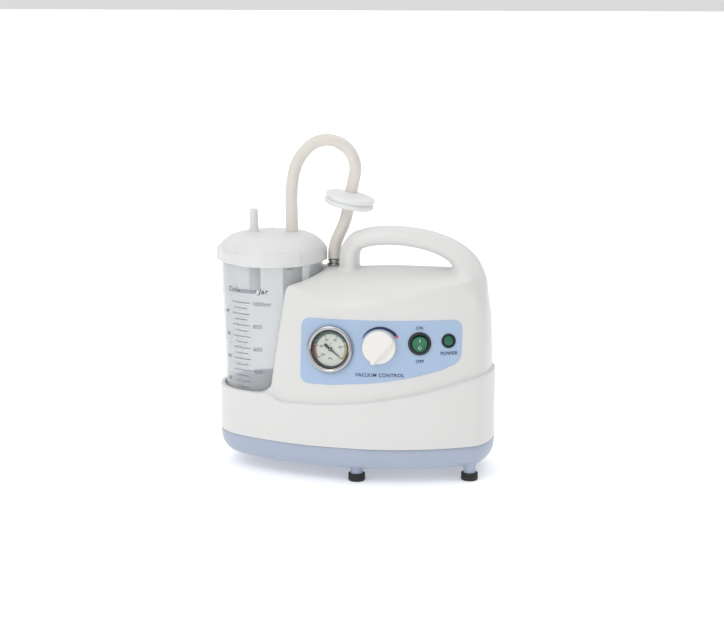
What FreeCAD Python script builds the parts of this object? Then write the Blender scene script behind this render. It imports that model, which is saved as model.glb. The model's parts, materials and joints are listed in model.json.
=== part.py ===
"""A portable suction pump: housing, collection canister, controls, vacuum pump and hoses.

Millimetres. The front faces -Y, +X points right and +Z up. The origin is on the
surface the feet stand on, under the middle of the unit. Each piece is its own STEP.
"""
import FreeCAD, Part
import math
import os

Vector = FreeCAD.Vector

# ---- Housing: plan outline and levels ----
CANISTER_X = -88.5          # axis of the canister and of its well
MIDDLE_X = 10.0             # where the housing is widest
RIGHT_X = 146.2             # right end of the housing at the seam
SEAM_HALF_WIDTH = 77.0
SEAM_LEFT_R = 55.8          # round left end, concentric with the well
FRONT_RIGHT_R = 235.0       # long gentle curve right of the middle
END_R = 90.0
CORNER_R = 25.0
TRAY_Z = 14.0               # underside of the base tray
SEAM_Z = 38.0
LIP_Z = 80.0                # level of the waist line at its left end
CUP_Z = 86.0                # top of the cup that holds the canister
CUP_X = (-80.0, -64.0)      # the cup's rim slopes down to the waist line between these
WAIST_X = -60.0             # the waist line is level left of here, then rises
WAIST_R = 682.0
WALL = 2.5
SPLIT_Y = 8.0               # parting plane between the front and rear shells
UPPER_Z = (60.0, 215.0)
UPPER_HALF_WIDTH = (75.4, 55.1)
UPPER_LEFT_R = (52.5, 42.0)
UPPER_RIGHT_X = (145.2, 140.0)
CROWN_R = 84.0
CROWN_Y = 6.0
CROWN_TOP = 210.0
HANDLE_SEAT = 211.0         # the handle's halves stand on the housing at this level

# ---- Canister and lid ----
WELL_R = 51.2
WELL_FLOOR = 49.7
BAY_R = 56.0                # concave wall behind the canister, above the lip
CAN_BOTTOM = 50.0
CAN_TOP = 225.0
CAN_WALL = 2.2
LID_R = 57.7
LID_LOW = 215.5
LID_EDGE = 229.0
LID_TOP = 243.5
INLET = (-107.0, -4.0)      # patient port
OUTLET = (-68.0, 3.0)       # port to the pump
INLET_TOP = 268.5
SPIGOT_Z = 238.0            # underside of the pump port
CAGE_R = 10.4               # float cage under the pump port
CAGE_LOW = 179.0
CAGE_HOLE_R = 4.5
BALL_R = 8.2

# ---- Hoses and filter ----
HOSE_R = 6.2
HOSE_BORE = 4.0
FILTER = Vector(-8.0, 9.3, 278.5)
FILTER_AXIS = Vector(0.2, -0.03, 0.98).normalize()
FILTER_HUB = 9.5
BARB = (-25.0, 12.0)
BARB_SHOULDER = 217.0
GAP = 0.3                   # clearance between pieces that come apart
UPPER_HOSE = [(-68, 3, 243.5), (-68.2, 3.3, 262), (-68.8, 3.7, 285.1), (-66, 4.2, 308.5),
              (-58.3, 4.8, 325.4), (-43.3, 5.6, 339.4), (-24.4, 6.3, 341.5), (-7.9, 6.9, 332),
              (-0.2, 7.8, 314.4), (-4.5, 8.78, 295.6), (-6.1, 9.02, 287.81)]
LOWER_HOSE = [(-9.9, 9.58, 269.19), (-12.4, 10, 257), (-19.5, 10.8, 242.5), (-25, 11.9, 230),
              (-25, 12, BARB_SHOULDER + GAP)]

# ---- Front panel: x, z of each control and its radius ----
GAUGE = (-11.8, 137.0, 23.6)
KNOB = (38.0, 141.2, 17.0)
SWITCH = (77.5, 144.5, 11.6)
LAMP = (105.0, 146.5, 7.3)
PANEL_SKIN = 1.2
PANEL_LEFT = -43.5
PANEL_RIGHT = 118.0
PANEL_TOP = 167.5

# ---- Pump and motor: shaft along X ----
SHAFT_Y = 15.0
SHAFT_Z = 75.0
SHAFT_R = 3.0
RUNNING = 0.05              # radial clearance of a shaft in its hole
VALVE_PORT_R = 3.0
THROW = 4.0                 # crank throw, half of the piston's stroke
PISTON_X = 10.0
BORE_R = 15.0
CYLINDER_Z = (106.0, 146.0)
MOTOR_R = 28.0
MOTOR_X = (30.0, 105.0)

HEAD_INLET = (-5.0, 15.0, 170.0)
MUFFLER = (100.0, 150.0)
INLET_X = 88.0
INLET_Z = 62.0
VENT_X = [24 + 9 * i for i in range(6)]

FOOT_R = 8.6
FEET = [(-90.0, 24.0), (14.0, -59.0), (14.0, 59.0), (126.5, -33.0), (118.0, 38.0)]


def box(x0, y0, z0, x1, y1, z1):
    return Part.makeBox(x1 - x0, y1 - y0, z1 - z0, Vector(x0, y0, z0))


def rod(r, z0, z1, x=0.0, y=0.0):
    return Part.makeCylinder(r, z1 - z0, Vector(x, y, z0))


def rod_x(r, x0, x1, y=SHAFT_Y, z=SHAFT_Z):
    return Part.makeCylinder(r, x1 - x0, Vector(x0, y, z), Vector(1, 0, 0))


def rod_y(r, y0, y1, x, z):
    return Part.makeCylinder(r, y1 - y0, Vector(x, y0, z), Vector(0, 1, 0))


def ring(outer, inner, z0, z1, x=0.0, y=0.0):
    return rod(outer, z0, z1, x, y).cut(rod(inner, z0 - 1, z1 + 1, x, y))


def union(shapes):
    return shapes[0].multiFuse(shapes[1:]).removeSplitter()


def turned(profile, x=0.0, y=0.0):
    """Solid of revolution about a vertical axis, from (radius, z) points."""
    points = [Vector(r, 0, z) for r, z in profile]
    face = Part.Face(Part.makePolygon(points + points[:1]))
    solid = face.revolve(Vector(0, 0, 0), Vector(0, 0, 1), 360)
    solid.translate(Vector(x, y, 0))
    return solid


def prism_y(edges_or_points, y0=-150.0, y1=150.0):
    """Extrude a closed outline in the XZ plane along Y."""
    outline = edges_or_points
    if not isinstance(outline, Part.Wire):
        points = [Vector(x, y0, z) for x, z in outline]
        outline = Part.makePolygon(points + points[:1])
    return Part.Face(outline).extrude(Vector(0, y1 - y0, 0))


def save(name, shape):
    solids = shape.Solids
    if not shape.isValid() or not solids:
        print("PROBLEM", name, "valid", shape.isValid(), "solids", len(solids))
    out = solids[0] if len(solids) == 1 else Part.makeCompound(solids)
    out.exportStep(os.path.join("parts", name + ".step"))
    print(f"{name:22s} solids {len(solids):2d}  volume {out.Volume / 1000:8.2f} cm3")


# ---- Housing outline ----
def arc(centre, start, end):
    """Edge along the shorter arc about centre from start to end."""
    a = start - centre
    b = end - centre
    middle = centre + (a.normalize() + b.normalize()).normalize() * (start - centre).Length
    return Part.Arc(start, middle, end).toShape()


def meeting_point(c1, r1, c2, r2):
    """The right-hand one of the two points where two circles cross."""
    gap = c2 - c1
    d = gap.Length
    along = (d * d + r1 * r1 - r2 * r2) / (2 * d)
    off = math.sqrt(r1 * r1 - along * along)
    unit = gap / d
    base = c1 + unit * along
    side = Vector(-unit.y, unit.x, 0) * off
    return max(base + side, base - side, key=lambda p: p.x)


def outline(z, half_width, left_r, right_x):
    """Closed egg-shaped plan of eight tangent arcs, mirrored about the XZ plane."""
    left = Vector(CANISTER_X, 0, z)
    reach = MIDDLE_X - CANISTER_X
    r1 = (reach ** 2 + half_width ** 2 - left_r ** 2) / (2 * (half_width - left_r))
    c1 = Vector(MIDDLE_X, r1 - half_width, z)
    c2 = Vector(MIDDLE_X, FRONT_RIGHT_R - half_width, z)
    end = Vector(right_x - END_R, 0, z)
    corner = meeting_point(c2, FRONT_RIGHT_R - CORNER_R, end, END_R - CORNER_R)
    p1 = left + (left - c1).normalize() * left_r
    p2 = Vector(MIDDLE_X, -half_width, z)
    p3 = c2 + (corner - c2).normalize() * FRONT_RIGHT_R
    p4 = end + (corner - end).normalize() * END_R
    flip = lambda p: Vector(p.x, -p.y, p.z)
    tip = Vector(CANISTER_X - left_r, 0, z)
    front = [arc(c1, p1, p2), arc(c2, p2, p3), arc(corner, p3, p4)]
    back = [arc(flip(corner), flip(p4), flip(p3)), arc(flip(c2), flip(p3), flip(p2)),
            arc(flip(c1), flip(p2), flip(p1))]
    round_left = Part.Arc(flip(p1), tip, p1).toShape()
    return Part.Wire([round_left] + front + [arc(end, p4, flip(p4))] + back)


def body_block(levels, inset=0.0):
    """Solid between two outlines; levels are (z, half width, left radius, right end)."""
    wires = [outline(z, w - inset, r - inset, x - inset) for z, w, r, x in levels]
    return Part.makeLoft(wires, True, True)


def upper_levels():
    return list(zip(UPPER_Z, UPPER_HALF_WIDTH, UPPER_LEFT_R, UPPER_RIGHT_X))


def lower_levels():
    return [(SEAM_Z, SEAM_HALF_WIDTH, SEAM_LEFT_R, RIGHT_X),
            (118.0, SEAM_HALF_WIDTH - 2.6, SEAM_LEFT_R, RIGHT_X)]


def waist_z(x):
    return LIP_Z + max(0.0, x - WAIST_X) ** 2 / (2 * WAIST_R)


def below_waist(drop=0.0):
    """Everything under the rising waist line, as a block along Y."""
    y = -150.0
    a = Vector(WAIST_X, y, LIP_Z - drop)
    b = Vector(50, y, waist_z(50) - drop)
    c = Vector(160, y, waist_z(160) - drop)
    low = [Vector(160, y, 0), Vector(-160, y, 0), Vector(-160, y, CUP_Z - drop),
           Vector(CUP_X[0], y, CUP_Z - drop), Vector(CUP_X[1], y, LIP_Z - drop), a]
    edges = [Part.Arc(a, b, c).toShape(), Part.makeLine(c, low[0])]
    edges += [Part.makeLine(p, q) for p, q in zip(low, low[1:])]
    return prism_y(Part.Wire(edges))


def crown(inset=0.0):
    """Rounded top across Y, with the right shoulder rounded down to the end wall."""
    r = CROWN_R - inset
    z = CROWN_TOP - CROWN_R
    across = Part.makeCylinder(r, 400, Vector(-200, CROWN_Y, z), Vector(1, 0, 0))
    low = box(-200, -120, 0, 200, 120, z)
    top = CROWN_TOP - inset
    y = -150.0
    x = 148.0 - inset
    start = Vector(x, y, 140 - inset)
    stop = Vector(112, y, top + 3)
    points = [stop, Vector(-200, y, top + 3), Vector(-200, y, 0), Vector(x, y, 0), start]
    edges = [Part.makeLine(p, q) for p, q in zip(points, points[1:])]
    edges.append(Part.Arc(start, Vector(137.5 - inset, y, 186 - inset), stop).toShape())
    return across.fuse(low).common(prism_y(Part.Wire(edges)))


# Handle sections: x, z, heading in degrees, half thickness, half depth along Y.
HANDLE = [(-6.3, 190, 90, 10.0, 14.0), (-6.5, 210, 90, 9.8, 13.5), (-6.2, 224, 85, 9.8, 13.5),
          (0.5, 237, 52, 9.2, 13.5), (11.5, 241.8, 22, 9.3, 13.5), (25, 244.4, 8, 9.3, 13.5),
          (45, 245.2, -1, 9.3, 13.5), (77, 241, -13, 9.6, 13.5), (100, 232.4, -28, 10.2, 13.8),
          (115.5, 220, -48, 11.2, 15.0), (123.5, 204, -70, 12.0, 18.0), (126.5, 180, -84, 12.0, 22.0)]


def handle(inset=0.0):
    wires = []
    for x, z, heading, thick, deep in HANDLE:
        ellipse = Part.Ellipse(Vector(0, 0, 0), deep - inset, thick - inset).toShape()
        turn = FreeCAD.Rotation(Vector(0, 1, 0), 90 - heading)
        quarter = FreeCAD.Rotation(Vector(0, 0, 1), 90)
        ellipse.Placement = FreeCAD.Placement(Vector(x, 0, z), turn.multiply(quarter))
        wires.append(Part.Wire([ellipse]))
    return Part.makeLoft(wires, True, False)


def bay(inset=0.0):
    """Space taken out of the housing for the canister above the lip."""
    floor = CUP_Z - inset
    left = prism_y([(-200, floor), (-79 + inset, floor), (-66 + inset, 200), (-66 + inset, 300),
                    (-200, 300)])
    return rod(BAY_R + inset, floor, 300, CANISTER_X).fuse(left)


def housing_outer():
    lower = body_block(lower_levels()).common(below_waist())
    upper = body_block(upper_levels()).common(crown())
    return union([lower, upper])


def housing_shell():
    outer = housing_outer().fuse(handle()).cut(bay())
    outer = outer.cut([rod(WELL_R, WELL_FLOOR, 300, CANISTER_X), rod(5.2, 190, 230, *BARB)])
    levels = lower_levels()
    levels[0] = (SEAM_Z - 5, ) + levels[0][1:]
    lower = body_block(levels, WALL).common(below_waist(WALL))
    upper = body_block(upper_levels(), WALL).common(crown(WALL))
    inner = union([lower, upper]).fuse(handle(WALL))
    inner = inner.cut(bay(WALL)).cut(rod(SEAM_LEFT_R + 0.2, WELL_FLOOR - WALL, 300, CANISTER_X))
    return outer.cut(inner)


def front_y(x, z):
    """Y of the upper body's front face at a place."""
    t = (z - UPPER_Z[0]) / (UPPER_Z[1] - UPPER_Z[0])
    w = UPPER_HALF_WIDTH[0] + t * (UPPER_HALF_WIDTH[1] - UPPER_HALF_WIDTH[0])
    r = FRONT_RIGHT_R
    if x < MIDDLE_X:
        left_r = UPPER_LEFT_R[0] + t * (UPPER_LEFT_R[1] - UPPER_LEFT_R[0])
        reach = MIDDLE_X - CANISTER_X
        r = (reach ** 2 + w ** 2 - left_r ** 2) / (2 * (w - left_r))
    return r - w - math.sqrt(r * r - (x - MIDDLE_X) ** 2)


def rear_y(x, z):
    """Y of the lower body's rear face at a place right of the middle."""
    w = SEAM_HALF_WIDTH - 2.6 * (z - SEAM_Z) / (118.0 - SEAM_Z)
    return w - FRONT_RIGHT_R + math.sqrt(FRONT_RIGHT_R ** 2 - (x - MIDDLE_X) ** 2)


def facing(x, z):
    """Point on the front face and the outward direction there."""
    step = 1.0
    point = Vector(x, front_y(x, z), z)
    along = Vector(2 * step, front_y(x + step, z) - front_y(x - step, z), 0)
    up = Vector(0, front_y(x, z + step) - front_y(x, z - step), 2 * step)
    return point, along.cross(up).normalize()


def on_front(shape, control):
    """Move a shape built along +Z about the origin onto the front face."""
    point, out = facing(control[0], control[1])
    side = Vector(0, 0, 1).cross(out).normalize()
    turn = FreeCAD.Rotation(side, out.cross(side), out, "ZXY")
    placed = shape.copy()
    placed.Placement = FreeCAD.Placement(point, turn).multiply(placed.Placement)
    return placed


# ---- Front panel and what is mounted on it ----
def panel_block():
    """Outline of the coloured panel as a block along Y, in front of the middle."""
    r = 9.0
    c = Vector(10, -150, 103.0)
    d = Vector(100, -150, 117.5)
    e = Vector(PANEL_RIGHT, -150, 127.0)
    points = [(PANEL_LEFT, 101), (PANEL_LEFT, PANEL_TOP), (PANEL_RIGHT, PANEL_TOP)]
    left_low, left_top, right_top = [Vector(x, -150, z) for x, z in points]
    bottom_end = Vector(-10, -150, 101)
    edges = [Part.makeLine(bottom_end, left_low), Part.makeLine(left_low, left_top),
             Part.makeLine(left_top, right_top), Part.makeLine(right_top, e),
             Part.makeLine(e, d), Part.Arc(d, Vector(48, -150, 106.5), c).toShape(),
             Part.makeLine(c, bottom_end)]
    block = prism_y(Part.Wire(edges), -150, -10)
    upright = [k for k in block.Edges if k.Length > 139 and abs(k.Vertexes[0].X - k.Vertexes[1].X) < 0.1]
    sharp = [k for k in upright if abs(k.Vertexes[0].X - c.x) > 1 and abs(k.Vertexes[0].X - d.x) > 1
             and abs(k.Vertexes[0].X - bottom_end.x) > 1]
    return block.makeFillet(r, sharp)


def panel_seats():
    """Flat seats and through holes for the four controls."""
    seats = []
    for control, hole in ((GAUGE, 21.3), (KNOB, 5.3), (SWITCH, 10.3), (LAMP, 6.3)):
        seat = rod(control[2] + 0.3, -0.9, 12).fuse(rod(hole, -20, 0))
        seats.append(on_front(seat, control))
    return union(seats)


def front_panel():
    skin = body_block(upper_levels()).common(panel_block())
    return skin.cut(body_block(upper_levels(), PANEL_SKIN)).cut(panel_seats())


def screw_places():
    return [(-20, 62), (20, 182), (128, 62), (122, 165)]


def tray_screw_places():
    return [(x, s * (abs(front_y(x, 60)) - 4.5)) for x in (-45, 88) for s in (-1, 1)]


def front_shell(shell):
    front = shell.common(box(-200, -120, 0, 200, SPLIT_Y, 300))
    pocket = panel_block().cut(body_block(upper_levels(), PANEL_SKIN))
    front = front.cut(pocket)
    inside = body_block(upper_levels(), WALL / 2).common(crown(WALL / 2))
    bosses = [rod_y(4.5, -80, SPLIT_Y, x, z).common(inside) for x, z in screw_places()]
    front = front.fuse(bosses + [rod(4.5, SEAM_Z, 56, x, y) for x, y in tray_screw_places() if y < 0])
    front = front.cut(panel_seats())
    front = front.cut([rod_y(1.45, -14, SPLIT_Y + 1, x, z) for x, z in screw_places()])
    return front.cut([rod(1.45, 30, 52, x, y) for x, y in tray_screw_places() if y < 0])


def rear_shell(shell):
    rear = shell.common(box(-200, SPLIT_Y, 0, 200, 120, 300))
    inside = body_block(upper_levels(), WALL / 2).common(crown(WALL / 2))
    bosses = [rod_y(6.5, SPLIT_Y, 90, x, z).common(inside) for x, z in screw_places()]
    rear = rear.fuse(bosses + [rod(4.5, SEAM_Z, 56, x, y) for x, y in tray_screw_places() if y > 0])
    rear = rear.cut([rod_y(1.8, SPLIT_Y - 1, 90, x, z) for x, z in screw_places()])
    rear = rear.cut([rod_y(4.2, 20, 100, x, z) for x, z in screw_places()])
    rear = rear.cut([rod(1.45, 30, 52, x, y) for x, y in tray_screw_places() if y > 0])
    rear = rear.cut([box(x, 30, 118, x + 4, 100, 158) for x in VENT_X])
    seat = box(-18.2, -14.2, -0.8, 18.2, 14.2, 20).fuse(box(-13.6, -10.1, -30, 13.6, 10.1, 0))
    rear = rear.cut(on_rear(seat, INLET_X, INLET_Z))
    return rear.cut(rod_y(5.0, 30, 100, *MUFFLER))


def dish(inset, z0, z1):
    """Tray-shaped block whose bottom edge is rounded in steps about 9 mm deep."""
    steps = [(0.0, 7.0), (1.4, 3.6), (4.4, 1.2), (9.0, 0.0), (z1 - z0, 0.0)]
    wires = []
    for rise, tuck in steps:
        shrink = inset + tuck
        wires.append(outline(z0 + rise, SEAM_HALF_WIDTH - shrink, SEAM_LEFT_R - shrink, RIGHT_X - shrink))
    return Part.makeLoft(wires, True, True)


def base_tray():
    tray = dish(0.0, TRAY_Z, SEAM_Z).cut(dish(WALL, TRAY_Z + WALL, SEAM_Z + 20))
    pads = [rod(5, TRAY_Z + WALL / 2, SEAM_Z, x, y) for x, y in tray_screw_places()]
    pads += [rod(6, TRAY_Z + WALL / 2, 26, x, y) for x, y in FEET[:3]]
    pads += [rod(5, TRAY_Z + WALL, 26, x, y) for x, y in FEET[3:]]
    pads += [rod(9, TRAY_Z + WALL / 2, 19, x, y) for x, y in isolator_places()]
    outside = dish(0.0, TRAY_Z, SEAM_Z)
    tray = union([tray] + [pad.common(outside) for pad in pads])
    tray = tray.cut([rod(1.9, 0, 60, x, y) for x, y in tray_screw_places()])
    tray = tray.cut([rod(3.7, 0, 25, x, y) for x, y in tray_screw_places()])
    return tray.cut([rod(1.6, 0, 24, x, y) for x, y in FEET])


def feet(tray):
    posts = []
    rings = []
    screws = []
    for x, y in FEET:
        post = rod(6.4, 2, 20, x, y).cut(tray).cut(rod(1.8, 0, 30, x, y))
        posts.append(max(post.cut(rod(3.6, 0, 5, x, y)).Solids, key=lambda s: s.Volume))
        cup = turned([(0, 0), (FOOT_R - 1, 0), (FOOT_R, 1), (FOOT_R, 7), (FOOT_R - 1, 8), (0, 8)], x, y)
        rings.append(cup.cut(rod(6.4, 2, 9, x, y)))
        screws.append(rod(3.2, 2.6, 5, x, y).fuse(rod(1.6, 4, 22, x, y)))
    return posts, rings, screws


def long_screws():
    shapes = []
    for x, z in screw_places():
        shapes.append(rod_y(3.4, 20, 23, x, z).fuse(rod_y(1.45, -12, 21, x, z)))
    return shapes


def tray_screws():
    shapes = []
    for x, y in tray_screw_places():
        shapes.append(rod(3.4, 22.8, 25, x, y).fuse(rod(1.45, 24, 50, x, y)))
    return shapes


# ---- Controls, each built about its own axis and then placed ----
def gauge_parts():
    parts = {}
    case = ring(21.0, 19.5, -18, 2.5).fuse(rod(21.0, -20, -18)).fuse(rod(4.5, -32, -19))
    parts["gauge_case"] = case.cut(rod(1.5, -40, -17))
    bezel = turned([(21.0, -0.9), (23.6, -0.9), (23.6, 3.0), (22.2, 5.2), (18.6, 5.2), (18.6, 4.2),
                    (21.0, 2.9)])
    parts["gauge_bezel"] = bezel
    parts["gauge_dial"] = rod(19.4, -1.4, -0.6).cut(rod(1.2, -3, 1))
    parts["gauge_glass"] = rod(20.4, 2.55, 3.7).common(rod(18.5, 2, 5).fuse(rod(20.4, 2, 2.85)))
    parts["gauge_movement"] = rod(12, -16, -4).fuse(rod(3, -4, -1.5)).cut(rod(1.05, -6, 0))
    needle = box(-0.7, -5.5, 0.2, 0.7, 15.0, 0.8).fuse(rod(2.2, 0.0, 1.4)).fuse(rod(1.0, -5, 0.5))
    needle = needle.fuse(box(-1.6, -8.0, 0.2, 1.6, -3.0, 0.8))
    needle.rotate(Vector(0, 0, 0), Vector(0, 0, 1), -127)
    parts["gauge_needle"] = needle
    return {name: on_front(shape, GAUGE) for name, shape in parts.items()}


def regulator_parts():
    parts = {}
    skirt = turned([(0, 0.6), (17.0, 0.6), (17.0, 4.0), (16.2, 8.0), (15.2, 9.0), (0, 9.0)])
    grip = box(-3.2, -15.5, 8, 3.2, 15.5, 13.5).common(rod(15.6, 0, 20))
    knob = skirt.fuse(grip).cut(rod(2.95, 0, 10))
    knob.rotate(Vector(0, 0, 0), Vector(0, 0, 1), -30)
    parts["regulator_knob"] = knob
    parts["regulator_stem"] = rod(2.95, -24, 10)
    parts["regulator_nut"] = Part.makeCylinder(7.5, 3).common(box(-6.5, -8, 0, 6.5, 8, 3))
    parts["regulator_nut"].translate(Vector(0, 0, -6.2))
    parts["regulator_nut"] = parts["regulator_nut"].cut(rod(5.0, -7, -2))
    valve = rod(5.0, -12, -0.9).fuse(rod(12.0, -40, -12))
    ports = Part.makeCylinder(VALVE_PORT_R, 40, Vector(-20, 0, -33), Vector(1, 0, 0))
    parts["regulator_valve"] = valve.fuse(ports).cut(rod(2.95 + RUNNING, -26, 0))
    return {name: on_front(shape, KNOB) for name, shape in parts.items()}


def switch_parts():
    parts = {}
    bezel = turned([(10.0, -0.9), (11.6, -0.9), (11.6, 1.0), (10.8, 2.2), (10.0, 2.2)])
    body = ring(10.0 + 0.25, 10.0, -14, -0.9)
    floor = rod(10.25, -17, -14)
    parts["switch_body"] = union([bezel, body, floor])
    ball = Part.makeSphere(9.7, Vector(0, 0, -3))
    rocker = rod(9.5, -10, 5).common(ball)
    wedge = Part.makePolygon([Vector(-15, -15, 5.5), Vector(-15, 0, 1.0), Vector(-15, 15, 5.5),
                              Vector(-15, 15, 12), Vector(-15, -15, 12), Vector(-15, -15, 5.5)])
    rocker = rocker.cut(Part.Face(wedge).extrude(Vector(30, 0, 0)))
    rocker.rotate(Vector(0, 0, -3), Vector(1, 0, 0), 8)
    parts["switch_rocker"] = rocker
    return {name: on_front(shape, SWITCH) for name, shape in parts.items()}


def lamp_parts():
    parts = {"lamp_body": rod(6.0, -16, -0.9).fuse(ring(7.3, 6.2, -0.9, 1.2)).fuse(rod(7.0, -0.9, -0.3)),
             "lamp_lens": rod(6.1, -0.3, 1.0).fuse(Part.makeSphere(9.0, Vector(0, 0, -5.6)).common(
                 rod(6.1, 1.0, 6)))}
    return {name: on_front(shape, LAMP) for name, shape in parts.items()}


# ---- Canister, lid and hoses ----
def canister():
    profile = [(0, CAN_BOTTOM), (44, CAN_BOTTOM), (47.2, CAN_BOTTOM + 1.5), (48.8, CAN_BOTTOM + 5),
               (52.9, 205), (52.9, 219), (54.5, 220.5), (54.5, CAN_TOP)]
    inner = [(52.9 - CAN_WALL, CAN_TOP), (52.9 - CAN_WALL, 205), (48.8 - CAN_WALL, CAN_BOTTOM + 6),
             (45, CAN_BOTTOM + 2.5), (0, CAN_BOTTOM + 2.5)]
    return turned(profile + inner, CANISTER_X)


def lid():
    outer = [(0, LID_TOP), (34, LID_TOP - 1.0), (42, LID_TOP - 3.5), (50, 234), (54.5, 230.5),
             (LID_R, LID_EDGE), (LID_R, LID_LOW)]
    inner = [(54.8, LID_LOW), (54.8, 226.8), (50.5, 228.0), (40, 237.0), (33, 239.8), (0, 241.0)]
    shell = turned(outer + inner, CANISTER_X)
    port = turned([(2.8, 238), (8.0, 238), (8.0, 244.5), (5.2, 248.5), (4.3, 250), (4.3, INLET_TOP),
                   (2.8, INLET_TOP)], *INLET)
    spigot = turned([(2.4, SPIGOT_Z), (9.0, SPIGOT_Z), (9.0, 243.5), (4.0, 243.5), (4.0, 252.5),
                     (2.4, 252.5)],
                    *OUTLET)
    bores = [rod(2.8, 225, 280, *INLET), rod(2.4, 225, 260, *OUTLET)]
    return shell.fuse([port, spigot]).cut(bores).removeSplitter()


def lid_gasket():
    return ring(54.4, 50.8, CAN_TOP + GAP, 226.8, CANISTER_X)


def inlet_guard():
    return ring(6.2, 5.0, 183, 237.2, *INLET)


def float_valve():
    """Cage with four windows, and a ball that floats up against the port."""
    x, y = OUTLET
    cage = ring(CAGE_R, CAGE_R - 1.6, CAGE_LOW, 232, x, y)
    cage = cage.cut([box(x - 12, y - 3.5, 206, x + 12, y + 3.5, 222),
                     box(x - 3.5, y - 12, 206, x + 3.5, y + 12, 222)])
    cage = cage.fuse([ring(CAGE_R - 0.5, CAGE_HOLE_R, CAGE_LOW, CAGE_LOW + 2, x, y),
                      ring(CAGE_R, 3.0, 230, SPIGOT_Z, x, y)])
    rest = CAGE_LOW + 2 + GAP + math.sqrt(BALL_R ** 2 - CAGE_HOLE_R ** 2)
    return cage.removeSplitter(), Part.makeSphere(BALL_R, Vector(x, y, rest))


def rounded_path(points):
    """Straight runs joined by tangent arcs as large as the runs allow."""
    pts = [Vector(*p) for p in points]
    edges = []
    radii = []
    start = pts[0]
    for before, here, after in zip(pts, pts[1:], pts[2:]):
        a = (before - here).normalize()
        b = (after - here).normalize()
        half_turn = (math.pi - a.getAngle(b)) / 2
        cut = 0.45 * min((before - here).Length, (after - here).Length)
        radius = cut / math.tan(half_turn)
        to_centre = (a + b).normalize()
        centre = here + to_centre * math.hypot(radius, cut)
        middle = centre - to_centre * radius
        edges.append(Part.LineSegment(start, here + a * cut).toShape())
        edges.append(Part.Arc(here + a * cut, middle, here + b * cut).toShape())
        start = here + b * cut
        radii.append(round(radius, 1))
    edges.append(Part.LineSegment(start, pts[-1]).toShape())
    return Part.Wire(edges), radii


def sweep(path, points, radius):
    first = Vector(*points[0])
    heading = (Vector(*points[1]) - first).normalize()
    circle = Part.Wire([Part.makeCircle(radius, first, heading)])
    return path.makePipeShell([circle], True, False)


def hose(name, points, outer=HOSE_R, bore=HOSE_BORE):
    path, radii = rounded_path(points)
    solid = sweep(path, points, outer)
    expected = math.pi * outer ** 2 * path.Length
    print(f"{name}: length {path.Length:.1f}, bend radii {radii}, "
          f"volume ratio {solid.Volume / expected:.4f}")
    return solid.cut(sweep(path, points, bore)) if bore else solid


def filter_parts():
    upper = turned([(2.5, 2.2), (21, 1.2), (21, 0.0), (25.6, 0.0), (25.6, 2.4), (24.2, 3.4),
                    (12, 5.2), (7.4, 6.4), (7.0, FILTER_HUB), (4.0, FILTER_HUB), (4.0, 15), (2.5, 15)])
    lower = upper.mirror(Vector(0, 0, 0), Vector(0, 0, 1))
    sheet = rod(20.8, -0.35, 0.35)
    turn = FreeCAD.Rotation(Vector(0, 0, 1), FILTER_AXIS)
    placed = []
    for shape in (upper, lower, sheet):
        piece = shape.copy()
        piece.Placement = FreeCAD.Placement(FILTER, turn).multiply(piece.Placement)
        placed.append(piece)
    return placed


def hose_barb():
    profile = [(1.6, 192), (3.6, 192), (4.9, 200), (4.9, 210.1), (6.8, 210.1), (6.8, 212.2), (5.4, 213.5),
               (5.4, BARB_SHOULDER), (3.95, BARB_SHOULDER), (3.95, 222.5), (1.6, 222.5)]
    return turned(profile, *BARB)


# ---- Pump and motor ----
def isolator_places():
    return [(x, SHAFT_Y + s * 24) for x in (0, 100) for s in (-1, 1)]


def pump_bracket():
    plate = box(-8, SHAFT_Y - 32, 38, 112, SHAFT_Y + 32, 41)
    saddles = [box(x, SHAFT_Y - 20, 41, x + 8, SHAFT_Y + 20, 62) for x in (36, 90)]
    bracket = union([plate] + saddles).cut(rod_x(MOTOR_R, 20, 120))
    return bracket.cut([rod(2.0, 30, 50, x, y) for x, y in isolator_places()])


def isolators():
    return [ring(7, 2.0, 19, 38, x, y) for x, y in isolator_places()]


def crankcase():
    block = box(-6, SHAFT_Y - 27, 41, 26, SHAFT_Y + 27, CYLINDER_Z[0])
    block = block.cut(box(-2, SHAFT_Y - 23, 45, 22, SHAFT_Y + 23, 102))
    block = block.cut(rod(8.5, 95, 110, PISTON_X, SHAFT_Y))
    return block.cut(rod_x(SHAFT_R + RUNNING, -10, 30))


def cylinder_block():
    z0, z1 = CYLINDER_Z
    barrel = ring(19, BORE_R, z0, z1, PISTON_X, SHAFT_Y)
    fins = [ring(23, 18, z0 + 4 + 6 * i, z0 + 6 + 6 * i, PISTON_X, SHAFT_Y) for i in range(6)]
    return union([barrel] + fins)


def piston_and_rod():
    piston = rod(BORE_R - RUNNING, 124, 136, PISTON_X, SHAFT_Y)
    big_end = rod_x(21, 6, 14).cut(rod_x(17.5, 0, 20))
    stem = box(PISTON_X - 4, SHAFT_Y - 4, SHAFT_Z + 19.5, PISTON_X + 4, SHAFT_Y + 4, 124)
    groove = ring(BORE_R + 1, BORE_R - 2, 129, 131.5, PISTON_X, SHAFT_Y)
    seal = ring(BORE_R - RUNNING, BORE_R - 2, 129, 131.5, PISTON_X, SHAFT_Y)
    return piston.cut(groove), big_end.fuse(stem).removeSplitter(), seal


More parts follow.
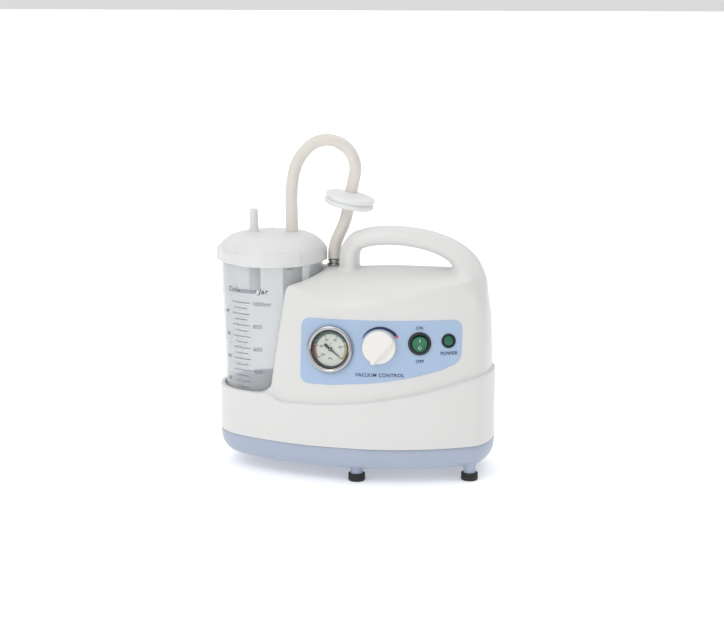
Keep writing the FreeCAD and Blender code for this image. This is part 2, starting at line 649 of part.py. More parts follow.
def pump_head():
    z = CYLINDER_Z[1]
    head = box(PISTON_X - 21, SHAFT_Y - 21, z + 3, PISTON_X + 21, SHAFT_Y + 21, z + 16)
    inlet = rod(4, z + 12, HEAD_INLET[2], *HEAD_INLET[:2])
    outlet = rod_x(4, PISTON_X + 21, PISTON_X + 33, SHAFT_Y, z + 9)
    plate = box(PISTON_X - 21, SHAFT_Y - 21, z, PISTON_X + 21, SHAFT_Y + 21, z + 3)
    plate = plate.cut([rod(3, z - 1, z + 4, PISTON_X + s * 7, SHAFT_Y) for s in (-1, 1)])
    holes = [rod(2.0, z - 1, z + 20, PISTON_X + a * 17, SHAFT_Y + b * 17) for a in (-1, 1) for b in (-1, 1)]
    head = union([head, inlet, outlet]).cut(rod(2.2, z + 6, z + 40, *HEAD_INLET[:2]))
    bolts = [rod(1.95, z, z + 16, PISTON_X + a * 17, SHAFT_Y + b * 17).fuse(
        rod(3.5, z + 16, z + 19, PISTON_X + a * 17, SHAFT_Y + b * 17)) for a in (-1, 1) for b in (-1, 1)]
    return head.cut(holes), plate.cut(holes), bolts


def motor_parts():
    x0, x1 = MOTOR_X
    parts = {}
    parts["motor_can"] = rod_x(MOTOR_R, x0, x1).cut(rod_x(MOTOR_R - 2, x0 - 1, x1 + 1))
    parts["motor_magnets"] = rod_x(MOTOR_R - 2, x0 + 8, x1 - 8).cut(rod_x(21, x0, x1))
    front = rod_x(MOTOR_R, 26, x0).cut(rod_x(SHAFT_R + RUNNING, 0, 200))
    rear = rod_x(MOTOR_R, x1, x1 + 4).cut(rod_x(SHAFT_R + RUNNING, 0, 200))
    parts["motor_end_caps"] = Part.makeCompound([front, rear])
    parts["motor_shaft"] = rod_x(SHAFT_R, -4, 124)
    parts["motor_armature"] = rod_x(20.3, x0 + 10, x1 - 12).cut(rod_x(SHAFT_R, 0, 200))
    offset = SHAFT_Z + THROW
    parts["crank_eccentric"] = rod_x(9, 6.5, 13.5, SHAFT_Y, offset).cut(rod_x(SHAFT_R, 0, 30))
    blades = []
    for i in range(7):
        blade = box(113, SHAFT_Y - 1, SHAFT_Z + 6, 120, SHAFT_Y + 1, SHAFT_Z + 24)
        blade.rotate(Vector(116.5, SHAFT_Y, SHAFT_Z + 14), Vector(0, 0, 1), 35)
        blade.rotate(Vector(116.5, SHAFT_Y, SHAFT_Z), Vector(1, 0, 0), i * 360 / 7)
        blades.append(blade)
    parts["cooling_fan"] = union([rod_x(8, 112, 121)] + blades).cut(rod_x(SHAFT_R, 0, 200))
    return parts


def inner_tubes():
    """Barb to pump, regulator to gauge, and pump to muffler."""
    valve, out = facing(KNOB[0], KNOB[1])
    side = Vector(0, 0, 1).cross(out).normalize()
    port = valve - out * 33 - side * 20
    gauge, gauge_out = facing(GAUGE[0], GAUGE[1])
    back = gauge - gauge_out * 32
    z = CYLINDER_Z[1] + 9
    x_out = PISTON_X + 33
    x_in, y_in, z_in = HEAD_INLET
    return {
        "vacuum_tube": [(*BARB, 192), (*BARB, 181), (x_in, y_in, z_in + 13), HEAD_INLET],
        "gauge_tube": [tuple(back), tuple(back - gauge_out * 9), (-3, -17.5, 135),
                       tuple(port - side * 9), tuple(port)],
        "exhaust_tube": [(x_out, SHAFT_Y, z), (60, 14, z), (80, 5, z - 2), (99, 3, MUFFLER[1]),
                         (MUFFLER[0], 20, MUFFLER[1])],
    }


def exhaust_muffler():
    x, z = MUFFLER
    body = rod_y(9, 20, 36, x, z).fuse(rod_y(4.8, 36, abs(front_y(x, z)) - 0.6, x, z))
    return body.cut(rod_y(2.0, 10, 60, x, z))


def on_rear(shape, x, z):
    """Move a shape built along +Z about the origin onto the lower body's rear face."""
    along = Vector(2, rear_y(x + 1, z) - rear_y(x - 1, z), 0)
    out = Vector(0, 0, 1).cross(along).normalize()
    side = Vector(0, 0, 1).cross(out).normalize()
    placed = shape.copy()
    turn = FreeCAD.Rotation(side, out.cross(side), out, "ZXY")
    placed.Placement = FreeCAD.Placement(Vector(x, rear_y(x, z), z), turn)
    return placed


def power_inlet():
    body = box(-13.5, -10, -17, 13.5, 10, 0.0).fuse(box(-18, -14, -0.8, 18, 14, 1.2))
    socket = box(-10.5, -6.5, -14, 10.5, 6.5, 2)
    pins = [box(x - 2, y - 1, -16.5, x + 2, y + 1, -4) for x, y in ((-7, -1.5), (7, -1.5), (0, 2.5))]
    inlet = body.cut(socket).cut(pins)
    pins = Part.makeCompound(pins)
    return on_rear(inlet, INLET_X, INLET_Z), on_rear(pins, INLET_X, INLET_Z)


def main():
    os.makedirs("parts", exist_ok=True)
    shell = housing_shell()
    tray = base_tray()
    above = box(-60, -40, HANDLE_SEAT, 160, 40, 300)
    for name, half in (("front", front_shell(shell)), ("rear", rear_shell(shell))):
        save("housing_" + name, half.cut(above))
        save("handle_" + name, half.common(above))
    save("base_tray", tray)
    posts, rings, screws = feet(tray)
    save("foot_posts", Part.makeCompound(posts))
    save("foot_rings", Part.makeCompound(rings))
    save("foot_screws", Part.makeCompound(screws))
    save("housing_screws", Part.makeCompound(long_screws()))
    save("tray_screws", Part.makeCompound(tray_screws()))
    save("front_panel", front_panel())
    for group in (gauge_parts(), regulator_parts(), switch_parts(), lamp_parts(), motor_parts()):
        for name, shape in group.items():
            save(name, shape)
    save("canister", canister())
    save("canister_lid", lid())
    save("lid_gasket", lid_gasket())
    save("inlet_guard", inlet_guard())
    cage, ball = float_valve()
    save("float_cage", cage)
    save("float_ball", ball)
    save("hose_upper", hose("upper hose", UPPER_HOSE))
    save("hose_lower", hose("lower hose", LOWER_HOSE))
    for name, shape in zip(("filter_upper", "filter_lower", "filter_membrane"), filter_parts()):
        save(name, shape)
    save("hose_barb", hose_barb())
    save("pump_bracket", pump_bracket())
    save("isolators", Part.makeCompound(isolators()))
    save("crankcase", crankcase())
    save("cylinder_block", cylinder_block())
    for name, shape in zip(("piston", "connecting_rod", "piston_seal"), piston_and_rod()):
        save(name, shape)
    head, plate, bolts = pump_head()
    save("pump_head", head)
    for name, points in inner_tubes().items():
        save(name, hose(name, points, 3.5, 2.0))
    save("exhaust_muffler", exhaust_muffler())
    inlet, pins = power_inlet()
    save("power_inlet", inlet)
    save("power_pins", pins)
    save("valve_plate", plate)
    save("head_bolts", Part.makeCompound(bolts))


main()
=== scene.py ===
import json
import math

import bmesh
import bpy
import numpy as np
from mathutils import Matrix, Vector


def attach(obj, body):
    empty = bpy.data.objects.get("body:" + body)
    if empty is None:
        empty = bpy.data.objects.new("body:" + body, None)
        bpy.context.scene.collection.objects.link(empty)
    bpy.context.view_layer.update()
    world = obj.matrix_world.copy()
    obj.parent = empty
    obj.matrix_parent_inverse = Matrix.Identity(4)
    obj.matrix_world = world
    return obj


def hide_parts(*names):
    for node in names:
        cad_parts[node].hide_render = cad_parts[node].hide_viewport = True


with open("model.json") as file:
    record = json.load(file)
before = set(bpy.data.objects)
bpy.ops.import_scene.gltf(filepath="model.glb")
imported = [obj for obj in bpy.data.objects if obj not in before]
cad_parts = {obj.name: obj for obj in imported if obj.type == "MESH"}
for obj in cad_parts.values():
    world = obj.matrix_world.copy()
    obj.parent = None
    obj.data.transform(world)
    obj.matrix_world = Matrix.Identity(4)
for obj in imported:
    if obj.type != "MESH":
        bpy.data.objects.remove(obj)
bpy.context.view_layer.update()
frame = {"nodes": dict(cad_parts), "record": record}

MM = 0.001

# ---- Stage: camera, floor, light ----
YAW, PITCH = math.radians(12.0), math.radians(11.5)
AIM = Vector((0.007, 0.0, 0.158))
DISTANCE = 1.7
WORLD_DARKER_BELOW, WORLD_BRIGHTER_ABOVE = 0.66, 1.02
# share of the way from -X to +X, grey level
WORLD_ACROSS = ((0.0, (0.62, 0.62, 0.63)), (0.22, (1.08,) * 3), (0.80, (1.05,) * 3), (0.93, (0.60,) * 3),
                (1.0, (0.20,) * 3))
# name, place, size in metres, watts
LIGHTS = (("key", (-1.0, -1.4, 2.1), 1.1, 10.5), ("top", (0.5, 0.7, 2.3), 1.4, 4.4))
LIGHTS_AIM = (0.0, 0.0, 0.12)
FLOOR_HALF = 30.0


def linked(name, data):
    """A new object in the scene."""
    obj = bpy.data.objects.new(name, data)
    bpy.context.scene.collection.objects.link(obj)
    return obj


def make_camera():
    back = Vector((math.sin(YAW) * math.cos(PITCH), -math.cos(YAW) * math.cos(PITCH), math.sin(PITCH)))
    cam = linked("camera", bpy.data.cameras.new("camera"))
    cam.data.lens = 81.3
    cam.data.sensor_width = 36.0
    cam.data.clip_end = 200.0
    cam.location = AIM + back * DISTANCE
    cam.rotation_mode = "QUATERNION"
    cam.rotation_quaternion = (-back).to_track_quat("-Z", "Y")
    bpy.context.scene.camera = cam
    bpy.context.scene.view_settings.view_transform = "Standard"


def add_node(tree, kind, **values):
    """A shader node with constants on its sockets; an underscore stands for a space in a socket's name."""
    node = tree.nodes.new("ShaderNode" + kind)
    for socket, value in values.items():
        node.inputs[socket.replace("_", " ")].default_value = value
    return node


def make_world():
    """Soft studio surround, darker towards +X and towards the floor."""
    world = bpy.data.worlds.new("studio")
    bpy.context.scene.world = world
    world.use_nodes = True
    tree, links = world.node_tree, world.node_tree.links
    sky = tree.nodes["Background"]
    way = add_node(tree, "TexCoord")
    split = add_node(tree, "SeparateXYZ")
    links.new(way.outputs["Generated"], split.inputs["Vector"])
    shade = add_node(tree, "ValToRGB")
    ramp = shade.color_ramp
    ramp.interpolation = "EASE"
    for k, (spot, level) in enumerate(WORLD_ACROSS):
        if k < 2:
            stop = ramp.elements[k]
            stop.position = spot
        else:
            stop = ramp.elements.new(spot)
        stop.color = (*level, 1.0)
    across = add_node(tree, "MapRange", From_Min=-1.0)
    links.new(split.outputs["X"], across.inputs["Value"])
    links.new(across.outputs["Result"], shade.inputs["Fac"])
    links.new(shade.outputs["Color"], sky.inputs["Color"])
    height = add_node(tree, "MapRange", To_Min=WORLD_DARKER_BELOW, To_Max=WORLD_BRIGHTER_ABOVE)
    links.new(split.outputs["Z"], height.inputs["Value"])
    links.new(height.outputs["Result"], sky.inputs["Strength"])


def make_lights():
    for name, place, size, watts in LIGHTS:
        light = linked(name, bpy.data.lights.new(name, "AREA"))
        light.data.size = size
        light.data.energy = watts
        light.location = place
        light.rotation_mode = "QUATERNION"
        light.rotation_quaternion = (Vector(place) - Vector(LIGHTS_AIM)).to_track_quat("Z", "Y")


def make_floor():
    a = FLOOR_HALF
    mesh = bpy.data.meshes.new("floor")
    mesh.from_pydata([(-a, -a, 0), (a, -a, 0), (a, a, 0), (-a, a, 0)], [], [(0, 1, 2, 3)])
    paper = finish("floor_paper", (0.95, 0.95, 0.95), 0.9, mottle=0.004, mottle_scale=3.0, glow=0.28)
    mesh.materials.append(paper)
    linked("floor", mesh)


# ---- Materials ----
def finish(name, colour, rough, metallic=0.0, mottle=0.015, mottle_scale=40.0, rough_spread=0.05, grain=0.0,
           grain_scale=1800.0, subsurface=0.0, glow=0.0):
    """Procedural material: slow colour and gloss variation, and a fine grain in the surface."""
    m = bpy.data.materials.new(name)
    m.use_nodes = True
    tree, links = m.node_tree, m.node_tree.links
    bsdf = tree.nodes["Principled BSDF"]
    bsdf.inputs["Metallic"].default_value = metallic
    if subsurface:
        bsdf.inputs["Subsurface Weight"].default_value = subsurface
        bsdf.inputs["Subsurface Radius"].default_value = (0.006, 0.005, 0.004)
        bsdf.inputs["Subsurface Scale"].default_value = 0.5
    if glow:
        bsdf.inputs["Emission Color"].default_value = (*colour, 1.0)
        bsdf.inputs["Emission Strength"].default_value = glow
    coords = add_node(tree, "TexCoord")
    slow = add_node(tree, "TexNoise", Scale=mottle_scale, Detail=4.0)
    links.new(coords.outputs["Object"], slow.inputs["Vector"])
    ramp = add_node(tree, "ValToRGB")
    ramp.color_ramp.elements[0].position = 0.3
    ramp.color_ramp.elements[1].position = 0.7
    for element, share in zip(ramp.color_ramp.elements, (1 - mottle, 1 + mottle)):
        element.color = (*[min(1.0, c * share) for c in colour], 1.0)
    links.new(slow.outputs["Fac"], ramp.inputs["Fac"])
    links.new(ramp.outputs["Color"], bsdf.inputs["Base Color"])
    low, high = max(0.02, rough - rough_spread), min(1.0, rough + rough_spread)
    gloss = add_node(tree, "MapRange", To_Min=low, To_Max=high)
    links.new(slow.outputs["Fac"], gloss.inputs["Value"])
    links.new(gloss.outputs["Result"], bsdf.inputs["Roughness"])
    if grain:
        fine = add_node(tree, "TexNoise", Scale=grain_scale, Detail=2.0)
        links.new(coords.outputs["Object"], fine.inputs["Vector"])
        bump = add_node(tree, "Bump", Strength=grain, Distance=0.0001)
        links.new(fine.outputs["Fac"], bump.inputs["Height"])
        links.new(bump.outputs["Normal"], bsdf.inputs["Normal"])
    return m


CLEAR_ROUGH = 0.04


def clear(name, tint, body, edge):
    """See-through plastic: mostly transparent face on, whiter and glossier towards its edges."""
    m = finish(name, tint, CLEAR_ROUGH, mottle=0.01, mottle_scale=25.0, rough_spread=0.02)
    tree, links = m.node_tree, m.node_tree.links
    bsdf = tree.nodes["Principled BSDF"]
    bsdf.inputs["IOR"].default_value = 1.5
    hole = add_node(tree, "BsdfTransparent", Color=(0.985, 0.99, 0.99, 1.0))
    facing = add_node(tree, "LayerWeight", Blend=0.25)
    span = add_node(tree, "MapRange", To_Min=body, To_Max=edge)
    links.new(facing.outputs["Facing"], span.inputs["Value"])
    mix = add_node(tree, "MixShader")
    links.new(span.outputs["Result"], mix.inputs["Fac"])
    links.new(hole.outputs["BSDF"], mix.inputs[1])
    links.new(bsdf.outputs["BSDF"], mix.inputs[2])
    links.new(mix.outputs["Shader"], tree.nodes["Material Output"].inputs["Surface"])
    return m


WHITE = (0.70, 0.697, 0.69)
# colour, roughness, the rest
FINISHES = {
    "housing_white": (WHITE, 0.36, dict(mottle=0.006, grain=0.10)),
    "base_blue": ((0.385, 0.44, 0.55), 0.38, dict(mottle=0.01, grain=0.12)),
    "panel_blue": ((0.385, 0.505, 0.69), 0.42, dict(mottle=0.012, grain=0.05)),
    "lid_white": ((0.71, 0.71, 0.71), 0.34, dict(mottle=0.008, grain=0.05, subsurface=0.15)),
    "hose_silicone": ((0.70, 0.665, 0.62), 0.34, dict(mottle=0.02, subsurface=0.35)),
    "filter_white": ((0.76, 0.77, 0.76), 0.40, dict(mottle=0.01, subsurface=0.2)),
    "filter_media": ((0.8, 0.8, 0.79), 0.9, dict(grain=0.5, grain_scale=3000.0)),
    "foot_rubber": ((0.012, 0.012, 0.012), 0.55, dict(mottle=0.2, grain=0.3)),
    "black_plastic": ((0.012, 0.013, 0.015), 0.3, dict(mottle=0.15, grain=0.1)),
    "bezel_chrome": ((0.47, 0.47, 0.48), 0.17, dict(metallic=1.0, rough_spread=0.03)),
    "dial_face": ((0.72, 0.74, 0.68), 0.6, dict(mottle=0.01)),
    "needle_black": ((0.01, 0.01, 0.01), 0.45, dict(mottle=0.1)),
    "knob_white": ((0.80, 0.785, 0.75), 0.35, dict(mottle=0.01, grain=0.06)),
    # rocker_green's glow is painted light: the rocker holds no lamp, and its faint emission brightens its green
    # as if lit
    "rocker_green": ((0.012, 0.15, 0.075), 0.3, dict(mottle=0.06, glow=0.06)),
    "lamp_green": ((0.01, 0.115, 0.06), 0.3, dict(mottle=0.08, glow=0.04)),
    "barb_metal": ((0.42, 0.41, 0.40), 0.25, dict(metallic=1.0, mottle=0.05)),
    "seal_silicone": ((0.6, 0.6, 0.58), 0.5, dict(mottle=0.03)),
    "float_plastic": ((0.7, 0.7, 0.68), 0.5, dict(mottle=0.02)),
    "zinc_steel": ((0.5, 0.5, 0.51), 0.35, dict(metallic=1.0, mottle=0.06, grain=0.1)),
    "shaft_steel": ((0.52, 0.52, 0.53), 0.2, dict(metallic=1.0, mottle=0.04)),
    "movement_brass": ((0.60, 0.42, 0.18), 0.3, dict(metallic=1.0, mottle=0.06)),
    "pump_aluminium": ((0.56, 0.57, 0.58), 0.42, dict(metallic=1.0, mottle=0.05, grain=0.4)),
    "motor_paint": ((0.02, 0.02, 0.022), 0.4, dict(mottle=0.1, grain=0.15)),
    "motor_iron": ((0.10, 0.09, 0.085), 0.5, dict(metallic=1.0, mottle=0.15, grain=0.5)),
}
SLOTS = {name: finish(name, colour, rough, **rest) for name, (colour, rough, rest) in FINISHES.items()}
SLOTS["clear_canister"] = clear("clear_canister", (0.64, 0.665, 0.685), 0.28, 0.70)
SLOTS["gauge_lens"] = clear("gauge_lens", (0.9, 0.92, 0.92), 0.03, 0.4)
PRINT_NAVY = finish("print_navy", (0.012, 0.018, 0.075), 0.45, mottle=0.08)
PRINT_GREY = finish("print_grey", (0.16, 0.19, 0.27), 0.5, mottle=0.05)
PRINT_RED = finish("print_red", (0.62, 0.05, 0.08), 0.5, mottle=0.05)
PRINT_GREEN = finish("print_green", (0.02, 0.16, 0.09), 0.5, mottle=0.05)
PRINT_YELLOW = finish("print_yellow", (0.62, 0.50, 0.12), 0.5, mottle=0.05)
PRINT_WHITE = finish("print_white", (0.75, 0.8, 0.78), 0.5, mottle=0.03)


def paint_cad_nodes():
    slots = {p["node"]: p["material_slot"] for p in frame["record"]["subparts"]}
    for node, obj in frame["nodes"].items():
        obj.data.materials.clear()
        obj.data.materials.append(SLOTS[slots[node]])


make_camera()
make_world()
make_lights()
make_floor()
paint_cad_nodes()

# ---- Hoses: route points in metres ----
HOSE_R = 0.0062
UPPER_HOSE = [(-0.068, 0.003, 0.2435), (-0.0682, 0.0033, 0.262), (-0.0688, 0.0037, 0.2851),
              (-0.066, 0.0042, 0.3085), (-0.0583, 0.0048, 0.3254), (-0.0433, 0.0056, 0.3394),
              (-0.0244, 0.0063, 0.3415), (-0.0079, 0.0069, 0.332), (-0.0002, 0.0078, 0.3144),
              (-0.0045, 0.00878, 0.2956), (-0.0061, 0.00902, 0.28781)]
LOWER_HOSE = [(-0.0099, 0.00958, 0.26919), (-0.0124, 0.01, 0.257), (-0.0195, 0.0108, 0.2425),
              (-0.025, 0.0119, 0.23), (-0.025, 0.012, 0.2173)]


def hose(name, route, widths):
    curve = bpy.data.curves.new(name + "_tube", "CURVE")
    curve.dimensions = "3D"
    curve.bevel_depth = HOSE_R
    curve.bevel_resolution = 10
    curve.resolution_u = 16
    curve.use_fill_caps = True
    line = curve.splines.new("NURBS")
    line.points.add(len(route) - 1)
    for point, place, width in zip(line.points, route, widths):
        point.co = (*place, 1.0)
        point.radius = width
    line.order_u = 3
    line.use_endpoint_u = True
    line.use_smooth = True
    obj = linked(name + "_tube", curve)
    curve.materials.append(SLOTS["hose_silicone"])
    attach(obj, "lid")
    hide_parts(name)
    return obj


upper_hose = hose("hose_upper", UPPER_HOSE, [1.08, 1.03] + [1.0] * 7 + [1.02, 1.04])
lower_hose = hose("hose_lower", LOWER_HOSE, [1.02, 1.0, 1.0, 1.03, 1.06])


# ---- Mesh tools, in millimetres ----
def add_object(name, points, faces, look, body, replaces=(), sharp=None, normals=None):
    """A shown piece from points in millimetres. look is a slot's name, or a material that fills no slot, and
    sharp is the angle above which an edge stays hard."""
    mesh = bpy.data.meshes.new(name)
    mesh.from_pydata((np.asarray(points, float) * MM).tolist(), [], [list(map(int, f)) for f in faces])
    mesh.validate()
    if normals is None:
        form = bmesh.new()
        form.from_mesh(mesh)
        bmesh.ops.recalc_face_normals(form, faces=form.faces)
        form.to_mesh(mesh)
        form.free()
    mesh.polygons.foreach_set("use_smooth", [True] * len(mesh.polygons))
    if sharp is not None:
        mesh.set_sharp_from_angle(angle=math.radians(sharp))
    if normals is not None:
        mesh.normals_split_custom_set_from_vertices(normals.tolist())
    obj = linked(name, mesh)
    slot = look if isinstance(look, str) else None
    mesh.materials.append(SLOTS[slot] if slot else look)
    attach(obj, body)
    if replaces:
        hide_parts(*replaces)
    return obj


ARC_STEPS = 5


def rounded(corners):
    """Polyline through (r, z) corners; a third number is that corner's radius."""
    out = []
    for i, corner in enumerate(corners):
        here = np.array(corner[:2], float)
        if len(corner) < 3 or i in (0, len(corners) - 1):
            out.append(here)
            continue
        a = np.array(corners[i - 1][:2], float) - here
        b = np.array(corners[i + 1][:2], float) - here
        la, lb = np.linalg.norm(a), np.linalg.norm(b)
        a, b = a / la, b / lb
        angle = math.acos(max(-1.0, min(1.0, float(a @ b))))
        cut = min(corner[2] / math.tan(angle / 2), 0.49 * la, 0.49 * lb)
        centre = here + (a + b) / np.linalg.norm(a + b) * cut / math.cos(angle / 2)
        start, stop = here + a * cut - centre, here + b * cut - centre
        turn = math.atan2(start[0] * stop[1] - start[1] * stop[0], start @ stop)
        for k in range(ARC_STEPS + 1):
            t = turn * k / ARC_STEPS
            out.append(centre + (start[0] * math.cos(t) - start[1] * math.sin(t),
                                 start[0] * math.sin(t) + start[1] * math.cos(t)))
    return np.array(out)


def lathe(profile, around=96, closed=False):
    """Surface of revolution about Z; a closed profile joins its last point to its first."""
    profile = np.asarray(profile, float)
    points, rows = [], []
    angles = np.arange(around) * 2 * math.pi / around
    for r, z in profile:
        if r < 1e-6:
            rows.append([len(points)] * around)
            points.append((0.0, 0.0, z))
        else:
            rows.append(list(range(len(points), len(points) + around)))
            points += [(r * math.cos(t), r * math.sin(t), z) for t in angles]
    faces = []
    pairs = list(zip(rows, rows[1:])) + ([(rows[-1], rows[0])] if closed else [])
    for low, high in pairs:
        for k in range(around):
            n = (k + 1) % around
            ring = [low[k], low[n], high[n], high[k]]
            face = [p for j, p in enumerate(ring) if p not in ring[:j]]
            if len(face) > 2:
                faces.append(face)
    return np.array(points), faces


def smin(a, b, k):
    """The smaller of two distances, rounded over a width k where they meet."""
    h = np.maximum(k - np.abs(a - b), 0.0) / k
    return np.minimum(a, b) - h * h * k * 0.25


def smax(a, b, k):
    return -smin(-a, -b, k)


SLOPE_STEP = 0.12


def slope_of(shape, p):
    """Gradient of a distance function at points p."""
    g = np.empty_like(p)
    for axis in range(3):
        step = np.zeros(3)
        step[axis] = SLOPE_STEP
        a, b = p + step, p - step
        g[:, axis] = (shape(*a.T) - shape(*b.T)) / (2 * SLOPE_STEP)
    return g


def settle(shape, p, reach, fixed=None):
    """Moves points onto the surface, without moving them along the fixed axis."""
    for _ in range(4):
        d = shape(*p.T)
        g = slope_of(shape, p)
        if fixed is not None:
            g[:, fixed] = 0.0
        move = -(d / np.maximum((g * g).sum(1), 0.2))[:, None] * g
        size = np.linalg.norm(move, axis=1, keepdims=True)
        p = p + move * np.minimum(1.0, reach / np.maximum(size, 1e-9))
    return p


def surface(shape, low, high, step):
    """Quads round the zero level of a distance function, with their points settled onto it."""
    low, high = np.array(low, float), np.array(high, float)
    block = 6
    count = np.ceil((high - low) / step / block).astype(int)
    centre = [low[i] + step * (block * np.arange(count[i]) + (block - 1) / 2) for i in range(3)]
    grid = np.meshgrid(*centre, indexing="ij")
    coarse = shape(*[g.ravel() for g in grid]).reshape(count)
    field = np.where(coarse > 0, 9.0, -9.0).astype(np.float32)
    for axis in range(3):
        field = np.repeat(field, block, axis)
    near = np.argwhere(np.abs(coarse) < step * block * 1.05)
    inner = np.stack(np.meshgrid(*[np.arange(block)] * 3, indexing="ij"), -1).reshape(-1, 3)
    for part in np.array_split(near, max(1, len(near) // 1500)):
        cells = (part[:, None, :] * block + inner[None]).reshape(-1, 3)
        field[tuple(cells.T)] = shape(*(low + cells * step).T)
    inside = field < 0
    corners = np.array([(i, j, k) for i in (0, 1) for j in (0, 1) for k in (0, 1)])
    size = np.array(field.shape) - 1
    total = np.zeros(size, np.uint8)
    for c in corners:
        total += inside[c[0]:c[0] + size[0], c[1]:c[1] + size[1], c[2]:c[2] + size[2]]
    cells = np.argwhere((total > 0) & (total < 8))
    value = np.stack([field[tuple((cells + c).T)] for c in corners], 1).astype(float)
    place, hits = np.zeros((len(cells), 3)), np.zeros(len(cells))
    for a in range(8):
        for b in range(a + 1, 8):
            if np.abs(corners[a] - corners[b]).sum() == 1:
                crossing = (value[:, a] < 0) != (value[:, b] < 0)
                t = value[:, a] / np.where(crossing, value[:, a] - value[:, b], 1.0)
                spot = corners[a] + t[:, None] * (corners[b] - corners[a])
                place += spot * crossing[:, None]
                hits += crossing
    points = low + (cells + place / hits[:, None]) * step
    number = np.full(size, -1, np.int32)
    number[tuple(cells.T)] = np.arange(len(cells))
    faces = []
    for axis in range(3):
        u, v = (axis + 1) % 3, (axis + 2) % 3
        ahead = np.moveaxis(inside, axis, 0)
        flips = np.moveaxis(ahead[1:] != ahead[:-1], 0, axis)
        spots = np.argwhere(flips)
        across, along = spots[:, u], spots[:, v]
        spots = spots[(across > 0) & (along > 0) & (across < size[u]) & (along < size[v])]
        du, dv = np.zeros(3, int), np.zeros(3, int)
        du[u], dv[v] = 1, 1
        quad = np.stack([number[tuple((spots - o).T)] for o in (0 * du, du, du + dv, dv)], 1)
        outward = inside[tuple(spots.T)]
        quad[~outward] = quad[~outward][:, ::-1]
        faces.append(quad)
    return settle(shape, points, 0.6 * step), np.concatenate(faces)


def normals_of(shape, points):
    normals = slope_of(shape, points)
    return normals / np.maximum(np.linalg.norm(normals, axis=1, keepdims=True), 1e-9)


def moulded(name, shape, low, high, step, slot, body, replaces=()):
    """A piece from a distance function in millimetres."""
    points, faces = surface(shape, low, high, step)
    return add_object(name, points, faces, slot, body, replaces, normals=normals_of(shape, points))


# ---- Housing: the same plan, levels and crown as the CAD ----
CANISTER_X, MIDDLE_X = -88.5, 10.0
FRONT_R, END_R, CORNER_R = 235.0, 90.0, 25.0
SEAM_Z, LIP_Z, CUP_Z, SPLIT_Y = 38.0, 80.0, 86.0, 8.0
WELL_R, WELL_FLOOR, BAY_R = 51.2, 49.7, 56.0
SEAM_HALF_WIDTH, SEAM_LEFT_R, SEAM_RIGHT_X = 77.0, 55.8, 146.2
RISE_FROM_X, RISE_R = -60.0, 682.0
CROWN_R, CROWN_Y, CROWN_Z = 84.0, 6.0, 126.0


def centres(half_width, left_r, right_x):
    """Centres and radii of the plan's arcs, for scalars or arrays."""
    reach = MIDDLE_X - CANISTER_X
    r1 = (reach ** 2 + half_width ** 2 - left_r ** 2) / (2 * (half_width - left_r))
    y1, y2 = r1 - half_width, FRONT_R - half_width
    end_x = right_x - END_R
    a, b = FRONT_R - CORNER_R, END_R - CORNER_R
    dx, dy = end_x - MIDDLE_X, -y2
    d = np.hypot(dx, dy)
    along = (d * d + a * a - b * b) / (2 * d)
    off = np.sqrt(a * a - along ** 2)
    corner_x = MIDDLE_X + (dx * along - dy * off) / d
    corner_y = y2 + (dy * along + dx * off) / d
    other_x = MIDDLE_X + (dx * along + dy * off) / d
    other_y = y2 + (dy * along - dx * off) / d
    right = corner_x >= other_x
    return r1, y1, y2, end_x, np.where(right, corner_x, other_x), np.where(right, corner_y, other_y)


def egg(x, y, half_width, left_r, right_x):
    """Distance to the egg-shaped plan."""
    y = -np.abs(y)
    r1, y1, y2, end_x, corner_x, corner_y = centres(half_width, left_r, right_x)
    left = np.hypot(x - CANISTER_X, y) - left_r
    long_left = np.hypot(x - MIDDLE_X, y - y1) - r1
    long_right = np.hypot(x - MIDDLE_X, y - y2) - FRONT_R
    corner = np.hypot(x - corner_x, y - corner_y) - CORNER_R
    end = np.hypot(x - end_x, y) - END_R
    ux, uy = CANISTER_X - MIDDLE_X, -y1
    long_side = np.where(x < MIDDLE_X, long_left, long_right)
    d = np.where(ux * (y - y1) - uy * (x - MIDDLE_X) < 0, left, long_side)
    past = (corner_x - MIDDLE_X) * (y - y2) - (corner_y - y2) * (x - MIDDLE_X) > 0
    d = np.where(past & (x > MIDDLE_X), corner, d)
    at_end = (corner_x - end_x) * y - corner_y * (x - end_x) > 0
    return np.where(at_end & (x > MIDDLE_X), end, d)


def upper_level(z):
    """Half width, left radius and right end of the upper body's plan at a height."""
    t = np.clip((z - 60.0) / 155.0, -0.2, 1.2)
    return 75.4 - 20.3 * t, 52.5 - 10.5 * t, 145.2 - 5.2 * t


def smooth_step(a, b, t):
    t = np.clip((t - a) / (b - a), 0, 1)
    return t * t * (3 - 2 * t)


def waist(x):
    """Height of the ledge between the lower and the upper body."""
    cup = (CUP_Z - LIP_Z) * (1 - smooth_step(-84.0, -60.0, x))
    return LIP_Z + cup + np.maximum(0.0, x - RISE_FROM_X) ** 2 / (2 * RISE_R)


def circle_through(a, b, c):
    """Centre and radius of the circle through three points."""
    m = np.array([[b[0] - a[0], b[1] - a[1]], [c[0] - b[0], c[1] - b[1]]]) * 2
    k = np.array([b[0] ** 2 - a[0] ** 2 + b[1] ** 2 - a[1] ** 2,
                  c[0] ** 2 - b[0] ** 2 + c[1] ** 2 - b[1] ** 2])
    x, z = np.linalg.solve(m, k)
    return x, z, math.hypot(a[0] - x, a[1] - z)


SHOULDER = circle_through((148.0, 140.0), (137.5, 186.0), (112.0, 213.0))

